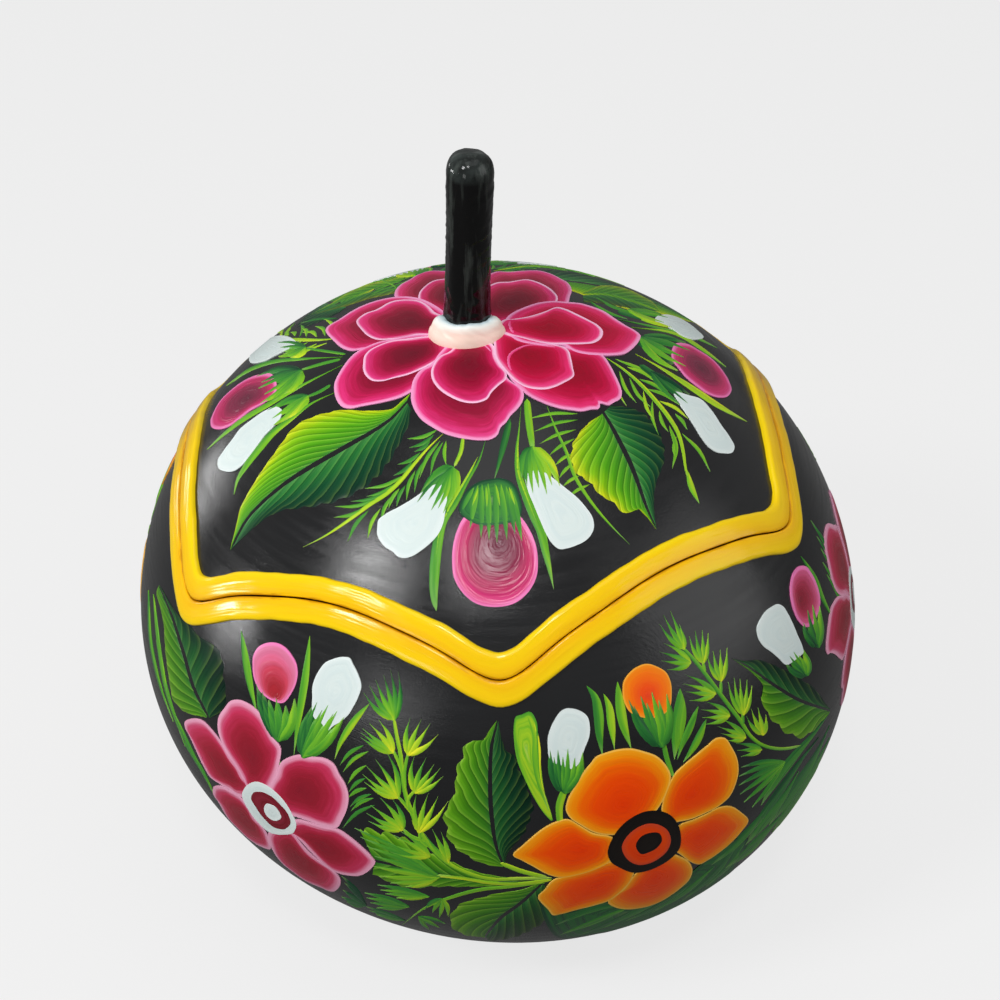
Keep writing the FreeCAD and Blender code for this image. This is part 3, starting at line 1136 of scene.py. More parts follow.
@dataclass(frozen=True)
class StemLacquer(Finish):
    """Thick gloss black over a lumpy dried stem."""

    name: str = "stem_lacquer"
    roughness: float = 0.1
    gloss: float = 0.3
    relief: float = 1.0
    tone: Colour = srgb(3, 3, 3)
    # sheen: grey of the painted reflection streaks along the stem
    sheen: Colour = srgb(74, 80, 76)

    def height(self, graph: Graph, marks: Marks) -> Socket:
        """Lumps and runs of lacquer, drawn out along the stem."""
        return graph.drawn_noise(graph.add("TexCoord").outputs["Object"], (620.0, 620.0, 120.0), 4.0, 0.62)

    def colour(self, graph: Graph, marks: Marks) -> Socket:
        """Black with painted grey reflection streaks drawn out along it, and greyer where the stem's end was
        rubbed.

        Args:
            graph: lays the nodes.
            marks: the patch's and the brush's marks.

        Returns:
            The colour socket.
        """
        place = graph.add("TexCoord").outputs["Object"]
        # Painted reflection: grey streaks drawn out along the stem
        reflection_noise = graph.drawn_noise(place, (430.0, 430.0, 58.0), 3.0, 0.6)
        reflection_share = graph.add("MapRange", {"Value": reflection_noise, "From Min": 0.51, "From Max": 0.68, "To Max": 0.55})
        body = graph.mix(reflection_share.outputs[0], self.tone, self.sheen)
        blots = graph.math("POWER", self.cloud(graph, 260.0, 3.0), 3.0)
        rubbed = graph.math("MULTIPLY", blots, marks.even_fade, clamp=True)
        return graph.mix(rubbed, body, srgb(104, 116, 112))


@dataclass(frozen=True)
class FillerPaint(Finish):
    """Cream filler, pinker low down, with a painted highlight of bluish white on its top against the stem."""

    name: str = "collar_cream"
    roughness: float = 0.42
    gloss: float = 0.35
    relief: float = 0.4
    # run: a painted highlight of bluish white by the stem, then the filler's own cream and pale pink further
    # out
    run: Stops = stops(
        (0.0, 196, 218, 224), (0.42, 216, 232, 236), (0.7, 246, 246, 240), (0.88, 252, 238, 226),
        (1.0, 255, 226, 210),
    )

    def height(self, graph: Graph, marks: Marks) -> Socket:
        """Small dents of the finger or spatula that spread it."""
        return graph.drawn_noise(graph.add("TexCoord").outputs["Object"], (420.0, 420.0, 420.0), 3.0, 0.6)

    def colour(self, graph: Graph, marks: Marks) -> Socket:
        """From a painted highlight of bluish white on the top against the stem, to the filler's own cream and
        pale pink outside.

        Args:
            graph: lays the nodes.
            marks: the patch's and the brush's marks.

        Returns:
            The colour socket.
        """
        run = graph.ramp(marks.fade, self.run)
        cloud = self.cloud(graph, 150.0, 3.0)
        blot = graph.add("MapRange", {"Value": cloud, "From Min": 0.5, "From Max": 0.72, "To Max": 0.5})
        return graph.mix(blot.outputs[0], run, srgb(244, 216, 194))


CRIMSON_BODY = stops(
    (0.0, 244, 84, 160), (0.1, 232, 52, 124), (0.22, 198, 28, 84), (0.4, 154, 16, 54), (0.62, 124, 16, 42),
    (1.0, 106, 20, 38),
)
CRIMSON_WARM = stops(
    (0.0, 248, 84, 150), (0.12, 238, 48, 112), (0.3, 204, 14, 66), (0.6, 178, 0, 44), (1.0, 160, 4, 34),
)
PINK_BODY = stops(
    (0.0, 226, 108, 152), (0.1, 212, 74, 116), (0.22, 200, 50, 88), (0.4, 172, 34, 60), (0.62, 150, 28, 46),
    (1.0, 136, 26, 42),
)
ORANGE_BODY = stops(
    (0.0, 255, 180, 30), (0.12, 255, 150, 6), (0.28, 254, 106, 0), (0.5, 252, 78, 0), (1.0, 244, 60, 0),
)

GROUND = GroundLacquer()
BORDER = BorderPaint()
STEM = StemLacquer()
FILLER = FillerPaint()
LEAF = LeafPaint()
LOW_LEAF = LeafPaint(
    name="leaf_low",
    lit=stops(
        (0.0, 58, 128, 52), (0.1, 64, 138, 30), (0.5, 80, 156, 20), (0.85, 106, 180, 24), (1.0, 146, 202, 52),
    ),
    shaded=stops((0.0, 52, 120, 60), (0.2, 28, 96, 44), (0.5, 10, 66, 38), (1.0, 2, 36, 26)),
)
GREEN = GreenPaint()
CRIMSON = PetalPaint(
    name="petal_crimson", body=CRIMSON_BODY, warm=CRIMSON_WARM, soft_rim=srgb(246, 160, 206), rim_width=0.7
)
PINK = PetalPaint(
    name="petal_pink", body=PINK_BODY, rim=srgb(244, 190, 212), soft_rim=srgb(238, 168, 196), rim_width=0.8,
    rim_fade=1.0,
)
ORANGE = PetalPaint(
    name="petal_orange", body=ORANGE_BODY, warm=ORANGE_BODY, rim=srgb(255, 196, 84), rim_width=0.35,
    wander=0.16, fineness=3.4,
)
WHITE = PlainPaint(name="bud_white", second=srgb(210, 226, 226), relief=0.3)
DISC = PlainPaint(
    name="disc_crimson", main=srgb(116, 18, 32), second=srgb(150, 40, 60), edge=srgb(120, 20, 36)
)
INK = PlainPaint(name="ring_black", main=srgb(18, 14, 12), second=srgb(28, 20, 16), edge=srgb(16, 12, 12))
FLAME = PlainPaint(name="ring_flame", main=srgb(228, 60, 4), second=srgb(240, 84, 10), edge=srgb(214, 70, 34))
ROSE_BUD = PetalPaint(
    name="bud_magenta",
    roughness=0.25,
    gloss=0.25,
    relief=0.5,
    rim=srgb(244, 130, 190),
    rim_width=0.9,
    body=stops((0.0, 232, 70, 140), (0.25, 196, 40, 98), (0.5, 140, 36, 72), (1.0, 98, 32, 54)),
    warm=stops(
        (0.0, 240, 142, 182), (0.24, 230, 112, 150), (0.46, 210, 70, 94), (0.72, 180, 42, 54),
        (1.0, 164, 38, 48),
    ),
)
FLAME_BUD = PetalPaint(
    name="bud_flame",
    rim=srgb(255, 178, 60),
    rim_width=0.4,
    body=stops((0.0, 255, 150, 16), (0.35, 255, 116, 10), (0.7, 252, 84, 20), (1.0, 240, 70, 30)),
)


class Track(Enum):
    """The shapes that one stroke of a brush takes: where it is widest, and how blunt its ends are."""

    SPINDLE = (0.45, 0.95)
    BLADE = (0.62, 1.0)
    FINGER = (0.28, 0.8)
    STALK = (0.4, 0.2)
    REED = (0.72, 0.5)
    SPIKE = (0.27, 1.5)

    def width(self, along: Array) -> Array:
        """How wide a stroke of this shape is.

        Args:
            along: the share t of the stroke's length.

        Returns:
            sin(pi t^q)^r as a share of the greatest width, with r the bluntness, and q set by where
            the stroke is widest.
        """
        belly, bluntness = self.value
        power = math.log(0.5) / math.log(belly)
        return np.maximum(np.sin(np.pi * along**power), 0) ** bluntness


class Painter:
    """Lays strokes of one finish on the gourd, from the photograph's viewpoint.

    Attributes:
        RIM_POINTS: how many points go round a daub.
        LEAF_ROWS: how many rows half a leaf has.
        EDGE: height of a stroke's edges, just under the ground.
        UNDERSIDE: height of its underside.
    """

    RIM_POINTS = 88
    LEAF_ROWS = 56
    EDGE = -0.05 * MM
    UNDERSIDE = -0.1 * MM

    def __init__(
        self, form: GourdForm, view: Viewpoint, axis: Array, level: float, seed: int,
        pile: float = 0.0022 * MM, lap: float = 0.003 * MM,
    ) -> None:
        """Readies a painter.

        Args:
            form: the gourd.
            view: the photograph's viewpoint.
            axis: what copies of strokes are turned about.
            level: how far the first stroke's paint stands above the ground.
            seed: where the painter's unevenness starts.
            pile: how far each stroke's paint stands above the one before.
            lap: the same for strokes of one fan, which lie over each other.
        """
        self.form, self.view, self.axis = form, view, axis
        self.level, self.pile, self.lap = level, pile, lap
        self.chance = np.random.default_rng(seed)
        self.patches: list[Patch] = []
        self.turns: tuple[float, ...] = (0.0,)
        self.azimuth = 0.0
        self.rises: dict[float, float] = {}

    def lay(self, ways: Array, lift: Array, paint: Array, grain: Array) -> None:
        """Puts one stroke, and its turned copies, on the gourd.

        Args:
            ways: unit directions, rows by columns.
            lift: height of each point above the ground.
            paint: three values for each point.
            grain: place in the brush's track for each point.
        """
        self.level += self.pile
        for turn in self.turns:
            spun = turned(ways, self.axis, turn) if turn else ways
            if turn in self.rises:
                side = math.radians(self.azimuth + turn)
                spun = turned(spun, np.array([math.cos(side), math.sin(side), 0.0]), -self.rises[turn])
            start = self.chance.uniform(0, 60, 3)
            self.patches.append(Patch(self.form.surface(spun, lift), paint, grain + start))

    def daub(self, outline: Array, heart: Pair, tone: float = 0.0, step: float = 0.0) -> None:
        """A filled shape that fades from a heart to its rim.

        The rows are the outline drawn in towards the heart, then the same underneath.

        Args:
            outline: the shape in the photograph, as a closed line.
            heart: where it fades to.
            tone: the paint value y.
            step: how far the painter's level rises before it is laid.
        """
        self.level += step
        count = self.RIM_POINTS
        rim = self.view.cast(smooth_line(outline, count, closed=True), self.form)
        core = self.view.cast(np.array(heart, float)[None], self.form)
        over = np.array([0.05, 0.16, 0.28, 0.4, 0.52, 0.63, 0.73, 0.82, 0.89, 0.94, 0.975, 1.0])
        under = np.array([1.0, 0.6, 0.2])
        share = np.concatenate([over, under])[:, None]
        ways = unit(core + share[..., None] * (rim - core))
        swell = self.level + 0.02 * MM * np.exp(-(((over - 0.93) / 0.05) ** 2))
        lift = np.concatenate([swell, np.array([-0.06, -0.2, -0.3]) * MM])[:, None]
        lift = np.broadcast_to(lift, ways.shape[:2])
        size = np.linalg.norm(rim - core, axis=-1) * self.form.radius / MM
        fade = np.broadcast_to(1 - share, lift.shape)
        inward = fade * size
        paint = np.stack([fade, np.full(lift.shape, tone), inward], axis=-1)
        angle = np.linspace(0, 2 * np.pi, count, endpoint=False)
        wide = size.mean()
        ring = np.broadcast_to(np.stack([np.cos(angle), np.sin(angle)], axis=-1) * wide, (*lift.shape, 2))
        grain = np.concatenate([ring, (fade * wide)[..., None]], axis=-1)
        self.lay(ways, lift, paint, grain)

    def stroke(
        self, line: Array, width: float, track: Track = Track.SPINDLE, tone: float = 0.5, count: int = 18,
        glow: float = 0.0,
    ) -> None:
        """One pull of the brush.

        Its sides lie half its width to each side of its line, in the photograph.

        Args:
            line: the middle of the stroke, in the photograph.
            width: its greatest width in pixels.
            track: the shape that it takes.
            tone: the paint value y.
            count: how many rows it gets.
            glow: how much the paint value y rises towards the stroke's start.
        """
        path = smooth_line(line, count)
        along = np.linspace(0, 1, count)
        heading = unit(np.gradient(path, axis=0))
        beside = np.stack([-heading[:, 1], heading[:, 0]], axis=-1)
        half = (width / 2 * np.maximum(track.width(along), 0.03))[:, None]
        left = self.view.cast(path + beside * half, self.form)[:, None]
        right = self.view.cast(path - beside * half, self.form)[:, None]
        over = np.array([0.0, 0.3, 0.7, 1.0] if count < 12 else [0.0, 0.15, 0.38, 0.62, 0.85, 1.0])
        under = np.array([0.75, 0.25])
        share = np.concatenate([over, under])[None, :]
        ways = unit(left + share[..., None] * (right - left))
        raised = self.level + 0.025 * MM * np.minimum(over, 1 - over)
        raised[[0, -1]] = self.EDGE
        lift = np.concatenate([raised, np.full(len(under), self.UNDERSIDE)])[None, :]
        lift = np.broadcast_to(lift, ways.shape[:2])
        centre = unit(left[:, 0] + right[:, 0])
        run = reached(centre) * self.form.radius / MM
        breadth = np.linalg.norm(left - right, axis=-1) * self.form.radius / MM
        share = np.broadcast_to(share, lift.shape)
        shade = np.broadcast_to(tone + glow * (1 - along[:, None]) ** 2, lift.shape)
        paint = np.stack([np.broadcast_to(along[:, None], lift.shape), shade, share], axis=-1)
        track_place = np.broadcast_to(run[:, None], lift.shape)
        grain = np.stack([track_place, np.zeros(lift.shape), share * breadth], axis=-1)
        self.lay(ways, lift, paint, grain)

    def fan(
        self, base: Pair, tips: Array, width: float, tone: float = 0.5, spread: float = 0.12,
        vary: float = 0.3, track: Track = Track.FINGER, glow: float = 0.0,
    ) -> None:
        """Pointed strokes from one place, such as the sepals round a bud.

        Each stroke bows away from the middle of the fan.

        Args:
            base: where the strokes start, in the photograph.
            tips: where they end.
            width: the strokes' greatest width.
            tone: the paint value y in the middle of the fan.
            spread: how far the strokes bow, as a share of their length.
            vary: how much lighter the last stroke is than the first.
            track: the shape that each takes.
            glow: how much lighter the strokes are where they start.
        """
        start = np.array(base, float)
        spine = unit(tips.mean(axis=0) - start)
        count = len(tips)
        level = self.level
        for index, tip in enumerate(tips):
            self.level = level + index * self.lap
            reach = tip - start
            turn = spine[0] * reach[1] - spine[1] * reach[0]
            bow = np.array([-spine[1], spine[0]]) * turn * spread * 2.2
            root = start + bow * 0.18
            middle = start + reach * 0.5 + bow
            share = index / max(count - 1, 1) - 0.5
            own = tone + vary * share + self.chance.uniform(-0.06, 0.06)
            self.stroke(np.array([root, middle, tip]), width, track, own, 9, glow)
        self.level = level + self.pile

    def leaf_half(
        self, vein: Array, edge: Array, side: float, bands: float, sweep: float = 0.4, teeth: float = 0.05,
        gap: float = 1.15,
    ) -> None:
        """Half a leaf, between its vein and its edge.

        Rows run from base to tip. Column c lies a share c of the way from vein to edge. The edge
        is drawn in between the strokes that make up the leaf, which follow t - sweep c.

        Args:
            vein: the vein in the photograph, from base to tip.
            edge: the edge, from base to tip.
            side: 0 for the lit half, 1 for the dark one.
            bands: how many strokes make up the half.
            sweep: how far towards the tip the strokes run on their way out.
            teeth: depth of the notches as a share of the half's width.
            gap: half the width of the bare vein, in pixels.
        """
        count = self.LEAF_ROWS
        inner, outer = smooth_line(vein, count), smooth_line(edge, count)
        along = np.linspace(0, 1, count)[:, None]
        away = outer - inner
        width = np.maximum(np.linalg.norm(away, axis=-1, keepdims=True), 1e-6)
        inner = inner + away / width * np.minimum(gap, width * 0.45)
        band = bands * (along - sweep)
        notch = np.abs(band - np.floor(band) - 0.62) * 1.6
        bite = teeth * (0.5 - notch)
        over = np.array([0.0, 0.06, 0.15, 0.26, 0.38, 0.5, 0.62, 0.74, 0.85, 0.94, 1.0])
        under = np.array([0.8, 0.5, 0.2])
        share = np.concatenate([over, under])[None, :]
        reach = share * (1 + bite * share**6)
        ways = self.view.cast(inner[:, None] + reach[..., None] * (outer - inner)[:, None], self.form)
        raised = np.full(len(over), self.level)
        raised[[0, -1]] = self.EDGE
        lift = np.concatenate([raised, np.full(len(under), self.UNDERSIDE)])[None, :]
        lift = np.broadcast_to(lift, ways.shape[:2])
        share = np.broadcast_to(share, lift.shape)
        breadth = np.linalg.norm(ways[:, 0] - ways[:, len(over) - 1], axis=-1)[:, None]
        breadth = breadth * self.form.radius / MM
        length = np.linalg.norm(ways[0, 0] - ways[-1, 0]) * self.form.radius / MM
        place = along - sweep * share**0.85
        paint = np.stack([share, np.full(lift.shape, side), bands * place + 8], axis=-1)
        grain = np.stack([share * breadth, np.zeros(lift.shape), place * length], axis=-1)
        self.lay(ways, lift, paint, grain)

    def sprig(self, shoots: Array, width: float, tone: float, bow: float) -> None:
        """Leaflets, one for each row of shoots.

        Args:
            shoots: rows of base and tip, four pixel values each.
            width: the leaflets' greatest width.
            tone: the paint value y.
            bow: how far they bow, as a share of their length.
        """
        for start_x, start_y, end_x, end_y in shoots.reshape(-1, 4):
            start, end = np.array([start_x, start_y]), np.array([end_x, end_y])
            reach = end - start
            side = np.array([-reach[1], reach[0]]) * bow
            own = tone + self.chance.uniform(-0.12, 0.12)
            self.stroke(np.array([start, (start + end) / 2 + side, end]), width, Track.SPINDLE, own, 9)

    def piece(self, name: str, finish: Finish, body: str, slot: str) -> Piece:
        """Makes all the strokes one piece."""
        return make_piece(name, self.patches, finish.material(), body)


def ripple(angle: Array, orders: tuple[int, ...], seed: int) -> Array:
    """An uneven swelling that closes on itself.

    Args:
        angle: where round the line, in radians.
        orders: how many waves go once round.
        seed: sets the waves' phases.

    Returns:
        The mean of cos(n a + p) over the orders n, each with its own random phase p.
    """
    phases = np.random.default_rng(seed).uniform(0, 2 * np.pi, len(orders))
    return np.cos(angle[..., None] * np.array(orders) + phases).mean(axis=-1)


def arcs(pole: Array, ends: Array, share: Array) -> Array:
    """Great-circle arcs from a pole to a line.

    Args:
        pole: the direction that all arcs start from.
        ends: the directions that they end in.
        share: how far along the arcs the rows lie.

    Returns:
        rows by columns of p sin((1 - s) w) / sin w + e sin(s w) / sin w, with w the arc's angle.
    """
    wide = np.arccos(np.clip(ends @ pole, -1, 1))[None, :, None]
    along = share[:, None, None]
    return (pole * np.sin((1 - along) * wide) + ends[None] * np.sin(along * wide)) / np.sin(wide)


@dataclass
class Part:
    """A piece that takes the place of one of the solids.

    Attributes:
        name: the piece's name.
        body: the body that carries it.
        slot: a material slot's name; not used.
    """

    name: str
    body: str
    slot: str

    def make(self, patch: Patch, finish: Finish) -> Piece:
        """Makes the piece from its one closed grid."""
        return make_piece(self.name, [patch], finish.material(), self.body)


@dataclass
class Shell(Part):
    """One part of the sawn rind: its lacquered outside, the cut and the inner face.

    Attributes:
        form: the gourd.
        seam: the cut.
        pole: the direction of the part's middle.
        apex: how far its cut is lifted.
        shares: where its rows lie between its middle and the cut.
    """

    form: GourdForm
    seam: Seam
    pole: Array
    apex: float
    shares: Array

    def build(self) -> Piece:
        """Makes the part.

        Returns:
            The piece.
        """
        rim = self.seam.line(0, self.form.radius, 6)
        outside = self.form.surface(arcs(self.pole, rim, self.shares), 0.0, self.apex)
        inside = self.form.hollow(arcs(self.pole, rim, self.shares[::-2]), self.apex)
        share = np.array([0.02, 0.35, 0.65, 0.98])[:, None, None]
        cut = outside[-1] + share * (inside[0] - outside[-1])
        points = np.concatenate([outside, cut, inside])
        inner = (np.arange(len(points)) >= len(outside))[:, None]
        paint = np.zeros(points.shape)
        paint[..., 1] = inner
        return self.make(Patch(points, paint, points / MM), GROUND)


@dataclass
class Border(Part):
    """A raised bead of yellow paste along one side of the cut.

    Attributes:
        form: the gourd.
        seam: the cut.
        width: the band's width, negative below the cut.
        apex: how far the cut is lifted.
        relief: how far the bead stands out of the rind.
        wobble: how far its outer edge strays.
        seed: where its unevenness starts.
        section: pairs of the share of the width and the share of the relief, round the bead.
    """

    form: GourdForm
    seam: Seam
    width: float
    apex: float
    relief: float = 0.88 * MM
    wobble: float = 0.42 * MM
    seed: int = 5
    section: tuple[Pair, ...] = (
        (0, -0.7), (0, 0.58), (0.03, 0.8), (0.09, 0.9), (0.18, 0.96), (0.3, 0.985), (0.43, 1.0),
        (0.56, 0.995), (0.68, 0.98), (0.79, 0.94), (0.88, 0.85), (0.95, 0.64), (0.99, 0.24), (1.0, -0.3),
        (1.0, -0.8), (0.5, -0.9),
    )

    def build(self) -> Piece:
        """Makes the bead.

        Returns:
            The piece.
        """
        cut = self.seam.line(0, self.form.radius, 9)
        cut = np.roll(cut, -len(cut) // 2, axis=0)
        edge = self.seam.line(self.width, self.form.radius, 9)
        edge = np.roll(edge, -len(edge) // 2, axis=0)
        angle = np.linspace(0, 2 * np.pi, len(cut), endpoint=False)
        stray = (1 - ripple(angle, (9, 17, 31, 46, 83), self.seed)) / 2 * self.wobble / abs(self.width)
        edge = unit(edge + stray[:, None] * (cut - edge))
        across, rise = np.array(self.section, float).T
        swell = 1 - 0.07 * (1 + ripple(angle, (13, 27, 41, 75), self.seed + 1))
        height = rise[:, None] * np.where(rise[:, None] > 0.5, swell, 1) * self.relief
        ways = unit(cut + across[:, None, None] * (edge - cut))
        points = self.form.surface(ways, height + self.form.ground_depth, self.apex)
        run = reached(cut) * self.form.radius / MM
        # share: 0 at the cut, where the finish paints shade, and 1 at the outer edge, where it paints a
        # highlight
        share = np.broadcast_to(across[:, None], height.shape)
        paint = np.stack([share, np.zeros(height.shape), height / self.relief], axis=-1)
        track = np.broadcast_to(run, height.shape)
        grain = np.stack([track, np.zeros(height.shape), share * abs(self.width) / MM], axis=-1)
        return self.make(Patch(points, paint, grain, Ends.JOINED), BORDER)


@dataclass
class Stem(Part):
    """The dried stem, whose tenon goes through the lid.

    Attributes:
        form: the gourd.
        side: pairs of radius and height that the stem's side runs through.
        height: its height above the lid.
        tenon: radius of the tenon.
        tenon_depth: how far the tenon goes down.
        offset: where it stands, beside and before the gourd's middle.
        lean: its lean towards +X, in degrees.
        ridge: depth of its long ridges.
        lump: depth of its lumps.
        fine_lump: depth of the small lumps on them.
        dip: how uneven its top is.
    """

    form: GourdForm
    side: tuple[Pair, ...] = (
        (5.2 * MM, 0.0), (4.86 * MM, 5 * MM), (4.68 * MM, 14 * MM), (4.7 * MM, 22 * MM), (4.9 * MM, 33.0 * MM)
    )
    height: float = 37.9 * MM
    tenon: float = 3.6 * MM
    tenon_depth: float = 6.5 * MM
    offset: Pair = (-6.1 * MM, -4.9 * MM)
    lean: float = 1.3
    ridge: float = 0.16 * MM
    lump: float = 0.09 * MM
    fine_lump: float = 0.035 * MM
    dip: float = 0.09 * MM

    @property
    def seat(self) -> Array:
        """The place on the crown that it stands on."""
        return self.form.middle + np.array([*self.offset, self.form.crown])

    def standing(self, radius: Array, angle: Array, height: Array) -> Array:
        """Points round the stem's own axis, which leans.

        Args:
            radius: their distances from the axis.
            angle: where round the axis they lie.
            height: how high they lie along the axis.

        Returns:
            The points.
        """
        lean = math.radians(self.lean)
        x, y = radius * np.cos(angle), radius * np.sin(angle)
        across = x * math.cos(lean) + height * math.sin(lean)
        up = height * math.cos(lean) - x * math.sin(lean)
        return self.seat + np.stack([across, y, up], axis=-1)

    def build(self) -> Piece:
        """Makes the stem.

        The radius is the side's, drawn in by long ridges and small lumps. The top is a rough dome.

        Returns:
            The piece.
        """
        angle = np.linspace(0, 2 * np.pi, 96, endpoint=False)[None, :]
        radii, heights = np.array(self.side).T
        dome = np.radians(np.array([86, 78, 70, 62, 54, 46, 38, 30, 22, 14, 6]))
        shoulder = self.height - radii[-1]
        dome_reach, dome_rise = np.cos(dome) ** 0.6, np.sin(dome) ** 0.84
        top = np.stack([radii[-1] * dome_reach, shoulder + radii[-1] * dome_rise], axis=-1)
        rows = np.linspace(shoulder, 0, 62)
        shank = np.stack([np.interp(rows, heights, radii), rows], axis=-1)
        under, end = -1.2 * MM, -self.tenon_depth
        below = np.array([under, under, -3.5 * MM, end, end])
        foot = np.stack([np.array([radii[0], *[self.tenon] * 3, self.tenon * 0.5]), below], axis=-1)
        outline = np.vstack([top, shank, foot])
        radius, height = outline[:, :1], outline[:, 1:]
        swirl = angle + height / (60 * MM)
        ridges = 1 + ripple(swirl, (3, 5, 7), 3)
        bent = angle + 9 * np.sin(height / (7.3 * MM))
        lumps = 1 + ripple(bent, (2, 4), 8) * np.sin(height / (3.1 * MM) + 1)
        fine = 1 + ripple(angle + 40 * np.cos(height / (5 * MM)), (9, 13), 4)
        free = np.clip((height + 0.5 * MM) / (2 * MM), 0, 1)
        drawn = radius - free * (self.ridge * ridges + self.lump * lumps + self.fine_lump * fine)
        above = np.clip((height - shoulder) / radii[-1], 0, 1)
        dip = above * self.dip * (1 + ripple(angle, (1, 2, 3), 21))
        points = self.standing(drawn, angle, height - dip)
        rubbed = np.broadcast_to(above**0.5, drawn.shape)
        paint = np.stack([rubbed, np.zeros(drawn.shape), drawn / MM], axis=-1)
        return self.make(Patch(points, paint, points / MM), STEM)


@dataclass
class Collar(Part):
    """The ring of filler pressed round the stem's foot.

    Attributes:
        stem: the stem that it seals.
        outline: pairs of radius and height round the ring's section, in millimetres.
        front_trim: how much narrower the ring is in front, in millimetres.
        back_trim: the same behind.
        back_drop: how much lower it is behind.
    """

    stem: Stem
    outline: tuple[Pair, ...] = (
        (4.2, -1.5), (4.2, 2.6), (4.6, 3.35), (5.2, 3.5), (5.8, 3.5), (6.35, 3.35), (6.9, 2.95), (7.35, 2.25),
        (7.62, 1.4), (7.85, 0.5), (7.95, -0.5), (7.95, -1.6), (7.4, -2.4), (6.0, -2.4),
    )
    front_trim: float = 1.0
    back_trim: float = 1.9
    back_drop: float = 1.5

    def build(self) -> Piece:
        """Makes the ring.

        Returns:
            The piece.
        """
        angle = np.linspace(0, 2 * np.pi, 128, endpoint=False)[None, :]
        section = smooth_line(np.array(self.outline), 40, closed=True) * MM
        radius, height = section[:, :1], section[:, 1:]
        free = np.clip((height / MM + 0.4) / 2.2, 0, 1)
        dents = 1 + ripple(angle, (2, 3, 5), 31)
        small = 1 + ripple(angle + height / (4 * MM), (8, 13, 19), 32)
        front, turn = np.maximum(-np.sin(angle), 0) ** 2, np.clip((np.sin(angle) + 0.3) / 0.7, 0, 1)
        back = turn**2 * (3 - 2 * turn)
        drawn = radius - free * np.clip(radius / MM - 5, 0, 1) * MM * (0.2 * dents + 0.07 * small)
        trim = self.front_trim * front + self.back_trim * back
        drawn = drawn - np.clip(radius / MM - 5.4, 0, 2.2) / 2.2 * trim * MM
        sunk = height - free * MM * (0.3 * dents + 0.1 * small + 0.2 * (1 - front) + self.back_drop * back)
        seat = self.stem.seat
        points = seat + np.stack([drawn * np.cos(angle), drawn * np.sin(angle), sunk + 0 * angle], axis=-1)
        # fade: 0 on the top against the stem, where the finish paints its highlight, and 1 on the outside
        fade = np.broadcast_to(np.clip((radius / MM - 4.4) / 3.2, 0, 1), drawn.shape)
        paint = np.stack([fade, np.zeros(drawn.shape), drawn / MM], axis=-1)
        return self.make(Patch(points, paint, points / MM, Ends.JOINED), FILLER)


@dataclass(frozen=True)
class Bud:
    """A closed flower and the sepals that hold it, traced in the photograph.

    Attributes:
        outline: the petals' outline.
        heart: where the petals are darkest.
        base: where the sepals spring from.
        tips: where the sepals end.
        width: the sepals' width in pixels.
        tone: the sepals' green, from 0 (dark) to 1 (yellow).
        warmth: the petals' paint value y.
    """

    outline: Array
    heart: Pair
    base: Pair
    tips: Array
    width: float = 12.0
    tone: float = 0.45
    warmth: float = 0.0

    def paint(self, petals: Painter, greens: Painter) -> None:
        """Lays the petals with one painter and the sepals with the other."""
        petals.daub(self.outline, self.heart, self.warmth)
        greens.fan(self.base, self.tips, self.width * 0.8, self.tone - 0.12, 0.13, 0.4, glow=-0.2)


